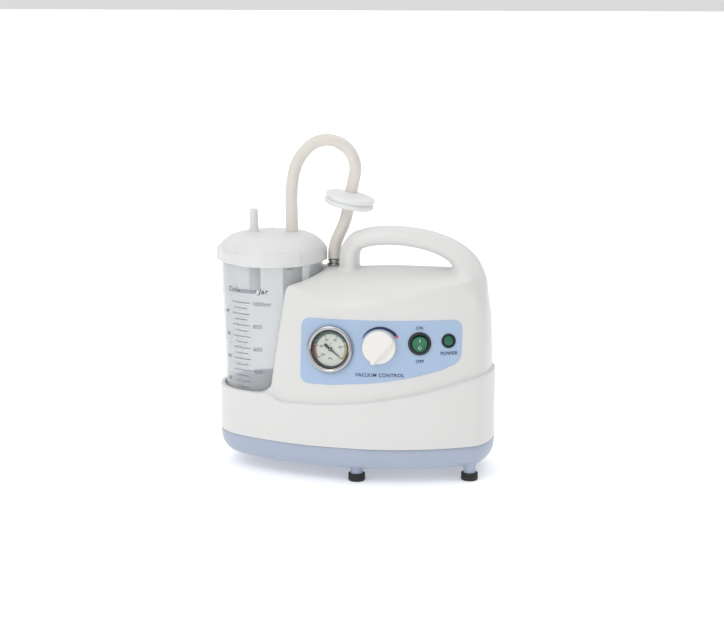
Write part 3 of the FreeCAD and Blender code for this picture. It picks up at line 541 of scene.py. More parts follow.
# x, z, heading in degrees, half thickness, half depth along Y
HANDLE = [(-6.3, 190, 90, 10.0, 14.0), (-6.5, 210, 90, 9.8, 13.5), (-6.2, 224, 85, 9.8, 13.5),
          (0.5, 237, 52, 9.2, 13.5), (11.5, 241.8, 22, 9.3, 13.5), (25, 244.4, 8, 9.3, 13.5),
          (45, 245.2, -1, 9.3, 13.5), (77, 241, -13, 9.6, 13.5), (100, 232.4, -28, 10.2, 13.8),
          (115.5, 220, -48, 11.2, 15.0), (123.5, 204, -70, 12.0, 18.0), (126.5, 180, -84, 12.0, 22.0)]


PER_SPAN = 7


def handle_line():
    """Smooth line through the handle's sections: x, z, half thickness, half depth."""
    keys = np.array([(x, z, thick, deep) for x, z, _, thick, deep in HANDLE], float)
    ahead = np.array([(math.cos(math.radians(h[2])), math.sin(math.radians(h[2]))) for h in HANDLE])
    rows = []
    for i in range(len(keys) - 1):
        p, q = keys[i], keys[i + 1]
        span = np.linalg.norm(q[:2] - p[:2])
        for t in np.arange(PER_SPAN) / PER_SPAN:
            h00, h10 = 2 * t ** 3 - 3 * t ** 2 + 1, t ** 3 - 2 * t ** 2 + t
            h01, h11 = -2 * t ** 3 + 3 * t ** 2, t ** 3 - t ** 2
            spot = h00 * p[:2] + h10 * span * ahead[i] + h01 * q[:2] + h11 * span * ahead[i + 1]
            rows.append((*spot, *(p[2:] + (q[2:] - p[2:]) * t)))
    rows.append(tuple(keys[-1]))
    return np.array(rows)


HANDLE_LINE = handle_line()


def handle_distance(x, y, z):
    """Rounded section with a sloped upper face, swept along the handle's line."""
    best = np.full(x.shape, 1e9)
    side, thick, deep = np.zeros_like(best), np.full(x.shape, 9.0), np.full(x.shape, 13.0)
    for a, b in zip(HANDLE_LINE, HANDLE_LINE[1:]):
        dx, dz = b[0] - a[0], b[1] - a[1]
        t = np.clip(((x - a[0]) * dx + (z - a[1]) * dz) / (dx * dx + dz * dz), 0, 1)
        ox, oz = x - a[0] - t * dx, z - a[1] - t * dz
        far = ox * ox + oz * oz
        nearer = far < best
        best = np.where(nearer, far, best)
        sign = np.where(-dz * ox + dx * oz > 0, 1.0, -1.0)
        side = np.where(nearer, sign * np.sqrt(far), side)
        thick = np.where(nearer, a[2] + t * (b[2] - a[2]), thick)
        deep = np.where(nearer, a[3] + t * (b[3] - a[3]), deep)
    v = np.abs(y)
    r = thick * 0.72
    qx, qy = np.abs(side) - thick + r, v - deep + r
    box = np.hypot(np.maximum(qx, 0), np.maximum(qy, 0)) + np.minimum(np.maximum(qx, qy), 0) - r
    slope = 0.62 * side + 0.785 * v - (0.62 * thick + 0.785 * deep * 0.42)
    return smax(box, slope, 3.0)


def bay_distance(x, y, z):
    """The open bay of the canister: a round wall that runs into a leaning one at its right."""
    line = math.atan2(13.0, 120.0)
    plane = (x + 79.0) * math.cos(line) - (z - 80.0) * math.sin(line)
    return smin(np.hypot(x - CANISTER_X, y) - BAY_R, plane, 4.0)


def body_distance(x, y, z):
    """The housing's solid outside, before its holes."""
    upper = egg(x, y, *upper_level(z))
    left = 1 - smooth_step(-72.0, -18.0, x)
    squarer = 2.0 + 0.8 * left
    across = (np.abs(y - CROWN_Y) ** squarer + np.maximum(z - CROWN_Z, 0.0) ** squarer) ** (1 / squarer)
    upper = smax(upper, across - CROWN_R - 2.6 * smooth_step(-5.0, 45.0, x), 4.0)
    upper = smax(upper, z - 213.0 + 8.5 * left, 6.0)
    cx, cz, r = SHOULDER
    upper = smax(upper, np.hypot(np.maximum(x - cx, 0), np.maximum(z - cz, 0)) - r, 9.0)
    high = z > 160.0
    if high.any():
        grip = np.full(x.shape, 60.0)
        grip[high] = handle_distance(x[high], y[high], z[high])
        blend = np.where(x > 60, np.clip(3.0 + (z - 186.0) * 0.5, 3.0, 12.0), 3.5)
        upper = smin(upper, grip, blend)
    upper = smax(upper, -bay_distance(x, y, z), 4.0)
    rise = np.maximum(0.0, x - RISE_FROM_X) / RISE_R
    lean = 2.2 * (z - SEAM_Z) / 80.0
    lower = egg(x, y, SEAM_HALF_WIDTH - lean, SEAM_LEFT_R + 0 * x, SEAM_RIGHT_X + 0 * x)
    lower = smax(lower, (z - waist(x)) / np.sqrt(1 + rise * rise), 1.9)
    near_cup = (1 - smooth_step(-80.0, -62.0, x)) * smooth_step(76.0, 86.0, z)
    return smin(lower, upper, 1.2 + 12.4 * near_cup)


def front_y(x, z):
    """Y of the upper body's front face."""
    half_width, left_r, _ = upper_level(z)
    reach = MIDDLE_X - CANISTER_X
    left_arc = (reach ** 2 + half_width ** 2 - left_r ** 2) / (2 * (half_width - left_r))
    r = np.where(x < MIDDLE_X, left_arc, FRONT_R)
    return r - half_width - np.sqrt(r * r - (x - MIDDLE_X) ** 2)


class Seat:
    """A place on the front face with its own sideways, upward and outward directions."""

    def __init__(self, x, z):
        self.origin = np.array([x, float(front_y(x, z)), z])
        along = np.array([2.0, float(front_y(x + 1, z) - front_y(x - 1, z)), 0.0])
        rise = np.array([0.0, float(front_y(x, z + 1) - front_y(x, z - 1)), 2.0])
        self.out = np.cross(along, rise)
        self.out /= np.linalg.norm(self.out)
        self.side = np.cross((0, 0, 1), self.out)
        self.side /= np.linalg.norm(self.side)
        self.up = np.cross(self.out, self.side)

    def place(self, points, turn=0.0):
        """Local points in the part's frame, turned anticlockwise by so many degrees seen from the front."""
        p = np.asarray(points, float)
        c, s = math.cos(math.radians(turn)), math.sin(math.radians(turn))
        u, v = p[:, 0] * c - p[:, 1] * s, p[:, 0] * s + p[:, 1] * c
        return self.origin + u[:, None] * self.side + v[:, None] * self.up + p[:, 2:] * self.out

    def local(self, x, y, z):
        d = np.stack([x - self.origin[0], y - self.origin[1], z - self.origin[2]])
        return [np.tensordot(axis, d, 1) for axis in (self.side, self.up, self.out)]

    def on_skin(self, points, lift):
        """Flat points laid on the curved front face."""
        p = self.place(points)
        p[:, 1] = front_y(p[:, 0], p[:, 2])
        return p + (lift + np.asarray(points)[:, 2:]) * self.out


GAUGE, KNOB, SWITCH, LAMP = Seat(-11.8, 137.0), Seat(38.0, 141.2), Seat(77.5, 144.5), Seat(105.0, 146.5)
HOLES = ((GAUGE, 21.3), (KNOB, 5.3), (SWITCH, 10.3), (LAMP, 6.3))
SCREW_PLACES = ((-20, 62), (20, 182), (128, 62), (122, 165))
VENTS = [26.0 + 9 * i for i in range(6)]
INLET_X, INLET_Z = 88.0, 62.0
MUFFLER = (100.0, 150.0)


def shell_distance(x, y, z):
    """The housing with its well, control seats, vents and rear openings."""
    solid = body_distance(x, y, z)
    well = np.maximum(np.hypot(x - CANISTER_X, y) - WELL_R, WELL_FLOOR - z)
    solid = smax(solid, -well, 1.8)
    front, rear = y < -20, y > 30
    if front.any():
        holes = np.full(int(front.sum()), 50.0)
        for seat, r in HOLES:
            u, v, w = seat.local(x[front], y[front], z[front])
            holes = np.minimum(holes, np.maximum(np.hypot(u, v) - r, -w - 14.0))
        solid[front] = smax(solid[front], -holes, 0.4)
    if rear.any():
        a, c = x[rear], z[rear]
        deep = -6.0 - solid[rear]
        holes = np.full(a.shape, 50.0)
        for vent in VENTS:
            holes = np.minimum(holes, np.hypot(a - vent, np.maximum(np.abs(c - 138.0) - 18.0, 0)) - 2.0)
        for sx, sz in SCREW_PLACES:
            holes = np.minimum(holes, np.hypot(a - sx, c - sz) - 4.2)
        holes = np.minimum(holes, np.hypot(a - MUFFLER[0], c - MUFFLER[1]) - 5.0)
        holes = np.minimum(holes, np.maximum(np.abs(a - INLET_X) - 13.6, np.abs(c - INLET_Z) - 10.1))
        solid[rear] = smax(solid[rear], -np.maximum(holes, deep), 0.8)
    return solid


def housing():
    step = 1.15
    floor = SEAM_Z + 0.15
    for name, sign, low, high in (("housing_front", 1.0, (-146, -82, 34), (152, 12, 260)),
                                  ("housing_rear", -1.0, (-146, 4, 34), (152, 82, 260))):
        cut = SPLIT_Y - 0.25 * sign

        def half(x, y, z):
            return np.maximum(np.maximum(shell_distance(x, y, z), sign * (y - cut)), floor - z)

        points, faces = surface(half, low, high, step)
        for axis, level in ((1, cut), (2, floor)):
            on_plane = np.abs(points[:, axis] - level) < 0.8 * step
            rim = on_plane & (np.abs(shell_distance(*points.T)) < 0.8 * step)
            edge = points[rim]
            edge[:, axis] = level
            points[rim] = settle(shell_distance, edge, 0.5, fixed=axis)
        normals = normals_of(shell_distance, points)
        add_object(name + "_shell", points, faces, "housing_white", "housing",
                   [name, name.replace("housing", "handle")], normals=normals)


housing()


# ---- Base tray ----
PER_ARC = 28


def seam_line(grow):
    """Points round the plan at the seam, each arc with its own share, offset outwards by grow."""
    r1, y1, y2, end_x, corner_x, corner_y = map(float, centres(SEAM_HALF_WIDTH, SEAM_LEFT_R, SEAM_RIGHT_X))
    a1 = math.atan2(-y1, CANISTER_X - MIDDLE_X)
    a2 = math.atan2(corner_y - y2, corner_x - MIDDLE_X)
    a3 = math.atan2(corner_y, corner_x - end_x)
    arcs = [(CANISTER_X, 0.0, SEAM_LEFT_R, -math.pi, a1), (MIDDLE_X, y1, r1, a1, -math.pi / 2),
            (MIDDLE_X, y2, FRONT_R, -math.pi / 2, a2), (corner_x, corner_y, CORNER_R, a2, a3),
            (end_x, 0.0, END_R, a3, 0.0)]
    front = []
    for cx, cy, r, start, stop in arcs:
        for k in range(PER_ARC):
            t = start + (stop - start) * k / PER_ARC
            front.append((cx + (r + grow) * math.cos(t), cy + (r + grow) * math.sin(t)))
    tip = (end_x + END_R + grow, 0.0)
    return np.array(front + [tip] + [(x, -y) for x, y in front[:0:-1]])


def base_tray():
    outside = [(-0.35, 37.75), (0.0, 37.2), (0.0, 33), (-0.25, 29.5), (-0.8, 26.5), (-1.8, 23.5), (-3.2, 20.8),
               (-5.0, 18.4), (-7.2, 16.5), (-9.8, 15.1), (-12.6, 14.3), (-16.0, 14.0), (-36.0, 14.0)]
    inside = [(-36.0, 16.5), (-14.0, 16.5), (-9.0, 18.5), (-5.0, 22.5), (-3.0, 28.0), (-2.5, 37.75)]
    levels = outside + inside
    n = len(seam_line(0.0))
    points = np.concatenate([np.column_stack([seam_line(grow), np.full(n, z)]) for grow, z in levels])
    faces = []
    for i in range(len(levels)):
        j = (i + 1) % len(levels)
        if i == len(outside) - 1:
            continue
        faces += [(i * n + k, i * n + (k + 1) % n, j * n + (k + 1) % n, j * n + k) for k in range(n)]
    faces += [[i * n + k for k in range(n)] for i in (len(outside) - 1, len(outside))]
    add_object("base_tray_shell", points, faces, "base_blue", "housing", ["base_tray"], sharp=40)


base_tray()


# ---- Front panel and its print ----
def panel_outline():
    """The panel's edge as (x, z), anticlockwise from its lower left."""
    left, right, top, r = -43.3, 117.8, 167.3, 9.0
    points = []
    for cx, cz, start in ((right - r, top - r, 0), (left + r, top - r, 90), (left + r, 101.2 + r, 180)):
        angles = [math.radians(start + t) for t in range(0, 91, 6)]
        points += [(cx + r * math.cos(t), cz + r * math.sin(t)) for t in angles]
    x, z, rad = circle_through((10.0, 103.2), (48.0, 106.7), (100.0, 117.7))
    points.append((-10.0, 101.2))
    for t in np.linspace(math.atan2(103.2 - z, 10 - x), math.atan2(117.7 - z, 100 - x), 24):
        points.append((x + rad * math.cos(t), z + rad * math.sin(t)))
    points += [(112.0, 123.0), (115.6, 126.3), (117.3, 129.8), (117.8, 134.0)]
    return np.array(points)


def polygon_distance(x, z, outline):
    d = np.full(x.shape, 1e9)
    inside = np.zeros(x.shape, bool)
    for a, b in zip(outline, np.roll(outline, -1, 0)):
        ex, ez = b - a
        wx, wz = x - a[0], z - a[1]
        t = np.clip((wx * ex + wz * ez) / (ex * ex + ez * ez), 0, 1)
        d = np.minimum(d, np.hypot(wx - ex * t, wz - ez * t))
        crosses = ((a[1] > z) != (b[1] > z)) & (wx < ex * wz / (ez if abs(ez) > 1e-9 else 1e-9))
        inside ^= crosses
    return np.where(inside, -d, d)


PANEL = panel_outline()
PANEL_PROUD, PANEL_BACK = 0.62, 0.8
PANEL_HOLES = ((GAUGE, 22.0), (KNOB, 6.0), (SWITCH, 10.8), (LAMP, 6.8))


def panel_distance(x, y, z):
    """Thin sheet on the front face inside the panel's edge, open round the controls."""
    skin = (y - front_y(x, z)) * 0.97
    sheet = np.maximum(-skin - PANEL_PROUD, skin - PANEL_BACK)
    edge = polygon_distance(x, z, PANEL)
    d = smax(sheet, edge, 0.5)
    for seat, r in PANEL_HOLES:
        u, v, _ = seat.local(x, y, z)
        d = np.maximum(d, r - np.hypot(u, v))
    return d


def front_panel():
    step = 0.75
    moulded("panel_overlay", panel_distance, (-46, -78, 99), (121, -28, 170), step,
            "panel_blue", "housing", ["front_panel"])


front_panel()


def join(parts):
    """Several (points, faces) as one."""
    points, faces, start = [], [], 0
    for p, f in parts:
        points.append(np.asarray(p, float))
        faces += [[v + start for v in face] for face in f]
        start += len(p)
    return np.concatenate(points), faces


PRINT_THICK, PRINT_LIFT = 0.06, 0.84


def letters(body, height, slant=0.0, spread=1.0, bold=0.0):
    """Text as a thin solid lying flat about the origin."""
    curve = bpy.data.curves.new("letters", "FONT")
    curve.body = body
    curve.size = height * 1.38
    curve.shear = slant
    curve.offset = bold
    curve.space_character = spread
    curve.align_x, curve.align_y = "CENTER", "CENTER"
    curve.extrude = PRINT_THICK / 2
    curve.resolution_u = 4
    obj = linked("letters", curve)
    bpy.context.view_layer.update()
    mesh = bpy.data.meshes.new_from_object(obj.evaluated_get(bpy.context.evaluated_depsgraph_get()))
    bpy.data.objects.remove(obj)
    p = np.array([v.co for v in mesh.vertices], float)
    f = [list(q.vertices) for q in mesh.polygons]
    bpy.data.meshes.remove(mesh)
    return p, f


def band(inner, outer, start, stop, z=0.0, steps=48):
    """Flat arc between two radii, which may be functions of the share along it; angles from +Y, clockwise."""
    rows, faces = [], []
    for k in range(steps + 1):
        share = k / steps
        t = math.radians(90 - (start + (stop - start) * share))
        a = inner(share) if callable(inner) else inner
        b = outer(share) if callable(outer) else outer
        for r, h in ((a, 0.0), (b, 0.0), (b, PRINT_THICK), (a, PRINT_THICK)):
            rows.append((r * math.cos(t), r * math.sin(t), z + h))
    for k in range(steps):
        i, j = 4 * k, 4 * k + 4
        faces += [(i + a, i + (a + 1) % 4, j + (a + 1) % 4, j + a) for a in range(4)]
    faces += [(0, 1, 2, 3), (4 * steps, 4 * steps + 3, 4 * steps + 2, 4 * steps + 1)]
    return np.array(rows), faces


def moved(part, u, v, w=0.0):
    return part[0] + np.array([u, v, w]), part[1]


def print_on_panel(name, seat, part, u, v, material=PRINT_NAVY):
    points, faces = moved(part, u, v)
    add_object(name, seat.on_skin(points, PRINT_LIFT), faces, material, "housing", sharp=30)


def panel_print():
    width = lambda share: 19.0 + 0.3 + 2.9 * share ** 0.5
    print_on_panel("print_vacuum_arc", KNOB, band(19.0, width, -61, 53), 0, -1)
    print_on_panel("print_vacuum_tip", KNOB, band(19.0, 22.3, 54, 60), 0, -1, PRINT_RED)
    for name, seat, text, height, spread, bold, u, v in (
            ("print_knob_legend", KNOB, "VACUUM CONTROL", 3.6, 1.10, 0.05, 0.5, -28.6),
            ("print_on", SWITCH, "ON", 3.3, 1.05, 0.04, 0, 15.6),
            ("print_off", SWITCH, "OFF", 3.3, 1.05, 0.04, 0, -18.0),
            ("print_power", LAMP, "POWER", 3.5, 1.08, 0.06, 0, -12.6)):
        print_on_panel(name, seat, letters(text, height, spread=spread, bold=bold), u, v)


panel_print()


# ---- Gauge ----
SWEEP, FACE_Z = 127.0, -0.6


def place_lathe(name, seat, profile, slot, replaces=(), around=96, closed=True, sharp=50):
    points, faces = lathe(rounded(profile), around, closed)
    add_object(name, seat.place(points), faces, slot, "housing", replaces, sharp=sharp)


def gauge():
    place_lathe("gauge_bezel_ring", GAUGE,
                [(21.2, -0.6), (23.6, -0.6), (24.4, 0.2, 0.4), (24.4, 2.2, 1.2), (23.3, 4.9, 1.6),
                 (21.6, 5.4, 1.0), (19.9, 4.2, 0.8), (19.3, 2.9, 0.3), (19.3, 2.2), (21.2, 2.2)],
                "bezel_chrome", ["gauge_bezel"], around=160)
    place_lathe("gauge_inner_ring", GAUGE,
                [(19.3, 3.3), (19.3, -0.5), (16.9, -0.5, 0.2), (17.3, 0.6, 0.3), (18.7, 3.3, 0.2)],
                "black_plastic", around=120)
    place_lathe("gauge_face", GAUGE, [(0, FACE_Z), (19.2, FACE_Z), (19.2, -1.2), (0, -1.2)],
                "dial_face", ["gauge_dial"], closed=False, sharp=30)
    place_lathe("gauge_lens", GAUGE, [(0, 3.35), (12, 3.25), (19.4, 2.9), (19.4, 2.3), (0, 2.5)],
                "gauge_lens", ["gauge_glass"], closed=False, sharp=40)
    marks, long_marks = [], []
    for k in range(51):
        t = -SWEEP + 2 * SWEEP * k / 50
        if k % 10 == 0:
            long_marks.append(band(12.4, 15.3, t - 1.1, t + 1.1, FACE_Z, steps=1))
        else:
            marks.append(band(13.9 if k % 5 == 0 else 14.3, 15.2, t - 0.4, t + 0.4, FACE_Z, steps=1))
    dial = [*marks, *long_marks, band(15.2, 15.5, -SWEEP, SWEEP, FACE_Z)]
    text_z = FACE_Z + 0.03
    for k, text in enumerate(("100", "80", "60", "40", "20", "0")):
        t = math.radians(-SWEEP + 2 * SWEEP * k / 5)
        dial.append(moved(letters(text, 2.4, bold=0.04), 10.0 * math.sin(t), 10.0 * math.cos(t), text_z))
    dial.append(moved(letters("kPa", 2.2, bold=0.03), 0, -9.4, text_z))
    dial.append(moved(letters("-", 3.0, bold=0.1), 0, 6.2, text_z))
    colours = (("gauge_print", join(dial), SLOTS["needle_black"]),
               ("gauge_green_arc", band(15.6, 16.9, -76, 62, FACE_Z), PRINT_GREEN),
               ("gauge_red_arc", band(15.6, 16.9, -SWEEP, -78, FACE_Z), PRINT_RED),
               ("gauge_yellow_arc", band(15.6, 16.9, 64, SWEEP, FACE_Z), PRINT_YELLOW))
    for name, (points, faces), material in colours:
        add_object(name, GAUGE.place(points), faces, material, "housing", sharp=30)
    right = [(0.75, -8.2), (1.5, -7.2), (1.45, -3.4), (0.85, -2.4), (0.75, 3.0), (0.18, 15.0)]
    blade = np.array([(-0.75, -8.2), *right, *[(-u, v) for u, v in right[:0:-1]]])
    n = len(blade)
    points = np.concatenate([np.column_stack([blade, np.full(n, w)]) for w in (0.25, 0.75)])
    faces = [list(range(n))[::-1], list(range(n, 2 * n))]
    faces += [(k, (k + 1) % n, n + (k + 1) % n, n + k) for k in range(n)]
    hub = lathe(rounded([(0, 0.1), (2.0, 0.1), (2.2, 0.9, 0.2), (1.7, 1.35, 0.2), (0, 1.45)]), 40)
    points, faces = join([(points, faces), hub])
    add_object("gauge_pointer", GAUGE.place(points, -SWEEP), faces, "needle_black", "needle",
               ["gauge_needle"], sharp=30)
    points, faces = lathe(rounded([(0, 1.75), (0.7, 1.7, 0.1), (0.95, 1.4, 0.1), (0.95, 1.2)]), 32)
    add_object("gauge_pointer_cap", GAUGE.place(points), faces, "movement_brass", "needle", sharp=40)


gauge()


# ---- Regulator knob, rocker, lamp ----
KNOB_TURN = -41.0


def knob_distance(x, y, z):
    """Round knob whose raised face ends in a sloping edge, with a small pointer at its foot; local axes."""
    r = np.hypot(x, y)
    skirt = smax(r - (17.1 - 0.10 * np.maximum(z - 1.0, 0)), np.abs(z - 3.9) - 3.5, 1.4)
    raised = smax(r - (16.6 - 0.14 * np.maximum(z - 7.0, 0)), x - 8.0 + 0.2 * (z - 6.0), 0.7)
    raised = smax(smax(raised, z - 11.4, 1.2), 1.0 - z, 0.5)
    pointer = smax(np.abs(x - 6.2 + 0.2 * (z - 6.0)) - 1.9, np.abs(y + 14.6) - 2.9, 1.0)
    pointer = smax(pointer, np.abs(z - 5.6) - 4.8, 1.2)
    return smin(smin(skirt, raised, 0.6), pointer, 0.8)


def knob():
    step = 0.4
    points, faces = surface(knob_distance, (-19, -19, -1), (19, 19, 15), step)
    normals = KNOB.place(normals_of(knob_distance, points), KNOB_TURN) - KNOB.origin
    add_object("regulator_knob_cap", KNOB.place(points, KNOB_TURN), faces, "knob_white", "knob",
               ["regulator_knob"], normals=normals)


knob()


def rocker_switch():
    place_lathe("switch_bezel", SWITCH,
                [(8.2, -1.2), (11.5, -1.2), (11.8, 0.6, 0.5), (11.2, 2.2, 0.8), (9.4, 2.9, 0.8),
                 (8.3, 1.7, 0.5)],
                "black_plastic")
    around, rings = 72, 14
    points, faces = [], []
    profile = [(7.85, -6.0), (7.85, -2.0), (7.8, 0.2)]
    profile += [(7.8 * (1 - k / rings) ** 0.9, None) for k in range(rings + 1)]
    for i, (r, z) in enumerate(profile):
        for k in range(around):
            t = 2 * math.pi * k / around
            u, v = r * math.cos(t), r * math.sin(t)
            top = 1.55 + 0.021 * v * v - 0.35 * math.exp((r - 7.8) / 0.35) - 0.006 * u * u
            points.append((u, v, top if z is None else z))
    rows = len(profile)
    for i in range(rows - 1):
        for k in range(around):
            n = (k + 1) % around
            faces.append((i * around + k, i * around + n, (i + 1) * around + n, (i + 1) * around + k))
    faces.append(list(range((rows - 1) * around, rows * around)))
    faces.append(list(range(around))[::-1])
    tilt = Matrix.Rotation(math.radians(8), 3, "X")
    turn = lambda p: (np.asarray(p, float) - (0, 0, -3)) @ np.array(tilt).T + (0, 0, -3)
    add_object("rocker_cap", SWITCH.place(turn(points)), faces, "rocker_green", "rocker",
               ["switch_rocker"], sharp=50)
    bar = letters("I", 3.2, bold=0.08)
    ring = band(1.15, 1.6, 0, 360, steps=28)
    for name, (p, f), v in (("rocker_mark_on", bar, 3.6), ("rocker_mark_off", ring, -3.6)):
        p = p + (0, v, 0)
        p[:, 2] += 1.60 + 0.021 * p[:, 1] ** 2 - 0.006 * p[:, 0] ** 2
        add_object(name, SWITCH.place(turn(p)), f, PRINT_WHITE, "rocker", sharp=30)


rocker_switch()


def lamp():
    place_lathe("lamp_ring", LAMP,
                [(5.4, -1.0), (7.1, -1.0), (7.4, 0.6, 0.4), (6.9, 1.5, 0.4), (5.8, 1.7, 0.3), (5.4, 1.1, 0.2)],
                "black_plastic")
    place_lathe("lamp_cap", LAMP,
                [(0, 2.9), (2.4, 2.7, 0.5), (4.2, 2.1, 0.6), (5.2, 1.1, 0.4), (5.3, 0.0), (5.3, -1.0)],
                "lamp_green", ["lamp_lens"], around=12, closed=False, sharp=12)


lamp()


# ---- Canister and lid ----
def stand(profile, x, y, around, closed=False):
    """Surface of revolution about an upright axis at x, y."""
    points, faces = lathe(rounded(profile), around, closed)
    return points + np.array([x, y, 0]), faces


def canister():
    profile = [(0, 50.0), (44, 50.0, 3), (48.3, 52.5, 4), (48.9, 58.0, 4), (52.9, 205.0, 6), (52.9, 219.0, 1),
               (54.4, 220.6, 0.6), (54.4, 225.0, 0.6), (51.0, 225.0, 0.5), (50.7, 205.0, 6), (46.8, 58.5, 5),
               (44.5, 53.2, 4), (30, 52.6, 8), (0, 54.0)]
    points, faces = stand(profile, CANISTER_X, 0.0, 160)
    jar = add_object("canister_jar", points, faces, "clear_canister", "canister", ["canister"], sharp=60)
    jar.visible_shadow = False


canister()


JAR_PRINT_LIFT, JAR_FOOT_R, JAR_FOOT_Z, JAR_TAPER = 0.2, 48.9, 58.0, 4.0 / 147.0
# the 1000 ml mark's height, the step of 50 ml and a mark's own height
MARK_TOP, MARK_STEP, MARK_HEIGHT = 177.9, 5.95, 0.75
# directions in degrees seen from above, 0 towards +X
MARKS_AT, NUMBERS_AT, LEFT_NUMBERS_AT, TITLE_AT = -115.0, -98.5, -139.0, -108.0


def on_canister(points, angle, z):
    """Flat points wrapped on the canister's wall about a direction in degrees and a height."""
    p = np.asarray(points, float)
    height = z + p[:, 1]
    r = JAR_FOOT_R + (height - JAR_FOOT_Z) * JAR_TAPER + JAR_PRINT_LIFT + p[:, 2]
    t = math.radians(angle) + p[:, 0] / 50.5
    return np.column_stack([CANISTER_X + r * np.cos(t), r * np.sin(t), height])


def bar_mark(width):
    cols = 8
    half = MARK_HEIGHT / 2
    flat = [(width * (k / cols - 0.5), v) for v in (-half, half) for k in range(cols + 1)]
    n = len(flat)
    points = np.array([(u, v, h) for h in (0.0, PRINT_THICK) for u, v in flat])
    faces = []
    for k in range(cols):
        faces.append((n + k, n + k + 1, n + k + cols + 2, n + k + cols + 1))
        faces.append((k, k + cols + 1, k + cols + 2, k + 1))
    edge = list(range(cols + 1)) + list(range(2 * cols + 1, cols, -1))
    faces += [(a, b, n + b, n + a) for a, b in zip(edge, edge[1:] + edge[:1])]
    return points, faces


def mark_z(level):
    return MARK_TOP - MARK_STEP * (1000 - level) / 50


def canister_print():
    parts = []
    for k in range(17):
        level = 1000 - 50 * k
        z = mark_z(level)
        points, faces = bar_mark(22.5 if k % 2 == 0 else 17.0)
        parts.append((on_canister(points, MARKS_AT, z), faces))
        if level % 200 == 0 and level >= 400:
            points, faces = letters("1000ml" if level == 1000 else str(level), 4.4, bold=0.02, spread=1.08)
            half = (points[:, 0].max() - points[:, 0].min()) / 2
            parts.append((on_canister(points + (half, -0.6, 0), NUMBERS_AT, z), faces))
    for level in (900, 700, 500, 300):
        points, faces = letters(str(level), 3.6, bold=0.02)
        parts.append((on_canister(points, LEFT_NUMBERS_AT, mark_z(level)), faces))
    points, faces = join(parts)
    add_object("canister_scale", points, faces, PRINT_GREY, "canister", sharp=30)
    points, faces = letters("Collection Jar", 5.4, slant=0.35, bold=0.09, spread=1.12)
    add_object("canister_title", on_canister(points, TITLE_AT, 190.5), faces, PRINT_NAVY, "canister", sharp=30)


canister_print()


def lid_distance(x, y, z):
    """Domed lid whose rim has lugs at three levels."""
    dx = x - CANISTER_X
    r = np.hypot(dx, y)
    angle = (np.degrees(np.arctan2(y, dx)) + 78.0 + 180.0) % 360.0 - 180.0
    third = (angle + 11.0 - 2.0 * smooth_step(229.0, 216.0, z) + 240.0) % 120.0
    proud = smooth_step(0.0, 1.4, third)
    proud = proud - smooth_step(43.0, 44.5, third) * 1.9 + smooth_step(96.0, 97.5, third) * 0.9
    inset = smooth_step(43.0, 47.0, third) * (1 - smooth_step(93.0, 97.0, third))
    rim = smax(smax(r - 57.1 - 0.7 * proud, 215.7 + 1.0 * inset - z, 1.0), z - (229.4 - 1.4 * inset), 1.4)
    dome = z - 243.8 + 13.8 * (np.maximum(r - 30.0, 0) / 26.0) ** 2.42
    dome = dome * np.interp(r, (32, 45, 56), (1.0, 0.87, 0.66))
    dome = smax(smax(dome, r - 55.6, 1.0), 222.0 - z, 1.0)
    lid = smin(rim, dome, 1.2)
    hollow = smax(r - 54.7, z - 226.4, 0.5)
    hollow = np.minimum(hollow, smax(dome + 3.0, r - 49.0, 1.5))
    lid = smax(lid, -hollow, 0.6)
    for px, py, pr, top in ((-107.0, -4.0, 7.4, 245.0), (-68.0, 3.0, 8.4, 244.6)):
        boss = smax(np.hypot(x - px, y - py) - pr, np.abs(z - top + 4.0) - 4.0, 1.0)
        lid = smin(lid, boss, 1.6)
        lid = smax(lid, -(np.hypot(x - px, y - py) - 4.0), 0.4)
    tab = np.hypot(np.maximum(np.abs(angle + 66.0) * 0.95 - 4.0, 0), np.maximum(np.abs(r - 54.6) - 1.2, 0))
    lid = smin(lid, smax(tab - 1.3, np.abs(z - 230.0) - 3.4, 1.2), 1.2)
    dimple = np.sqrt((x + 96.0) ** 2 + (y - 27.0) ** 2 + (z - 243.6) ** 2) - 3.0
    return smax(lid, -dimple, 0.5)


def canister_lid():
    step = 0.85
    moulded("canister_lid_cap", lid_distance, (-149, -61, 213), (-28, 61, 248), step,
            "lid_white", "lid", ["canister_lid"])
    port = [(2.8, 238.0), (5.6, 238.0), (6.2, 244.8), (5.1, 247.0, 1.5), (4.5, 250.5, 2.0), (4.3, 258.0),
            (4.3, 267.2, 0.6), (3.9, 268.5, 0.3), (2.9, 268.5, 0.3), (2.8, 266.0)]
    collar = [(4.0, 240.0), (7.4, 240.0), (7.6, 244.6, 0.4), (7.2, 245.2, 0.3), (6.0, 245.3, 0.2), (4.0, 243.8)]
    ports = (("patient_nipple", port, -107.0, -4.0), ("pump_port_collar", collar, -68.0, 3.0))
    for name, profile, x, y in ports:
        points, faces = stand(profile, x, y, 64, closed=True)
        add_object(name, points, faces, "lid_white", "lid", sharp=50)


canister_lid()


# ---- Filter, barb, feet ----
def along_axis(points, centre, axis):
    axis = Vector(axis).normalized()
    turn = np.array(Vector((0, 0, 1)).rotation_difference(axis).to_matrix())
    return np.asarray(points, float) @ turn.T + np.array(centre)


FILTER, FILTER_AXIS = (-8.0, 9.3, 278.5), (0.2, -0.03, 0.98)


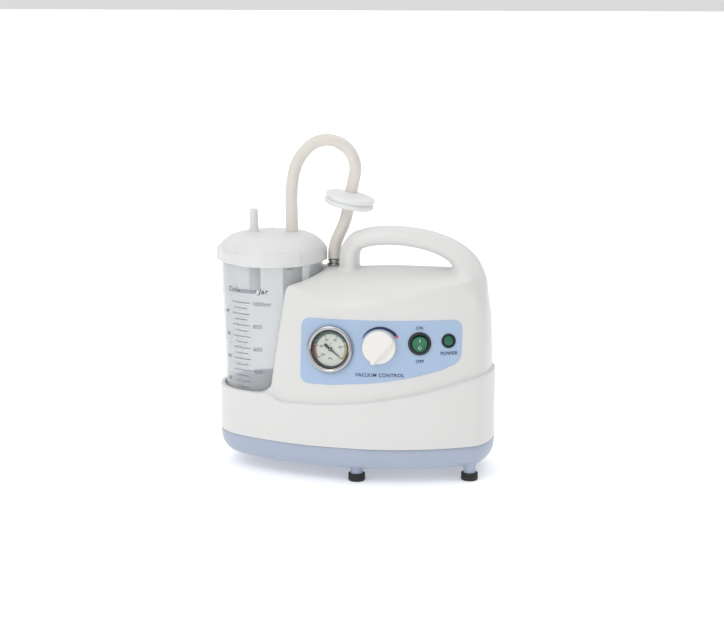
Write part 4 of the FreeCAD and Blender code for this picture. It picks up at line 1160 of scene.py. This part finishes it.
def filter_disc():
    half = [(0.0, 0.35), (20.5, 0.35), (20.6, 0.08), (24.2, 0.08), (24.5, 0.9, 0.3), (25.7, 1.9, 0.4),
            (25.8, 3.9, 1.0), (24.9, 5.2, 1.0), (22.5, 5.9, 2.0), (15.0, 7.4, 6.0), (9.5, 8.4, 2.5),
            (7.4, 9.3, 0.6), (4.1, 9.5, 0.2), (4.0, 14.8, 0.4), (2.6, 15.0, 0.3), (2.5, 6.0), (0.0, 5.5)]
    for name, sign, node in (("filter_top", 1.0, "filter_upper"), ("filter_bottom", -1.0, "filter_lower")):
        points, faces = lathe(rounded(half), 96)
        points = points * (1, 1, sign)
        points = along_axis(points, FILTER, FILTER_AXIS)
        add_object(name, points, faces, "filter_white", "lid", [node], sharp=40)


filter_disc()


def barb():
    profile = [(1.6, 192), (3.6, 192), (4.9, 200), (4.9, 209.6), (7.4, 209.6, 0.3), (7.6, 210.6, 0.4),
               (7.4, 212.0, 0.4), (5.6, 212.3, 0.3), (5.3, 214.0, 0.3), (6.4, 214.3, 0.3), (6.4, 216.2, 0.4),
               (5.2, 216.9, 0.3), (3.95, 217.0), (3.95, 222.4, 0.3), (1.6, 222.4)]
    points, faces = stand(profile, -25.0, 12.0, 64, closed=True)
    add_object("hose_barb_fitting", points, faces, "barb_metal", "housing", ["hose_barb"], sharp=35)


barb()


FEET = ((-90.0, 24.0), (14.0, -59.0), (14.0, 59.0), (126.5, -33.0), (118.0, 38.0))


def feet():
    post = [(0, 19.5), (6.9, 19.5), (6.9, 16.5, 0.8), (6.3, 14.0, 0.6), (6.3, 2.2), (0, 2.2)]
    ring = [(0, 0.0), (7.9, 0.0, 0.9), (8.7, 1.2, 0.7), (8.7, 4.6, 0.5), (8.2, 5.1, 0.2), (8.2, 5.6, 0.2),
            (8.7, 6.1, 0.3), (8.5, 7.8, 0.7), (6.6, 8.1, 0.3), (6.3, 7.2), (6.3, 2.0), (0, 2.0)]
    for node, profile, slot in (("foot_posts", post, "base_blue"), ("foot_rings", ring, "foot_rubber")):
        points, faces = join([stand(profile, x, y, 64) for x, y in FEET])
        add_object(node + "_turned", points, faces, slot, "housing", [node], sharp=40)


feet()
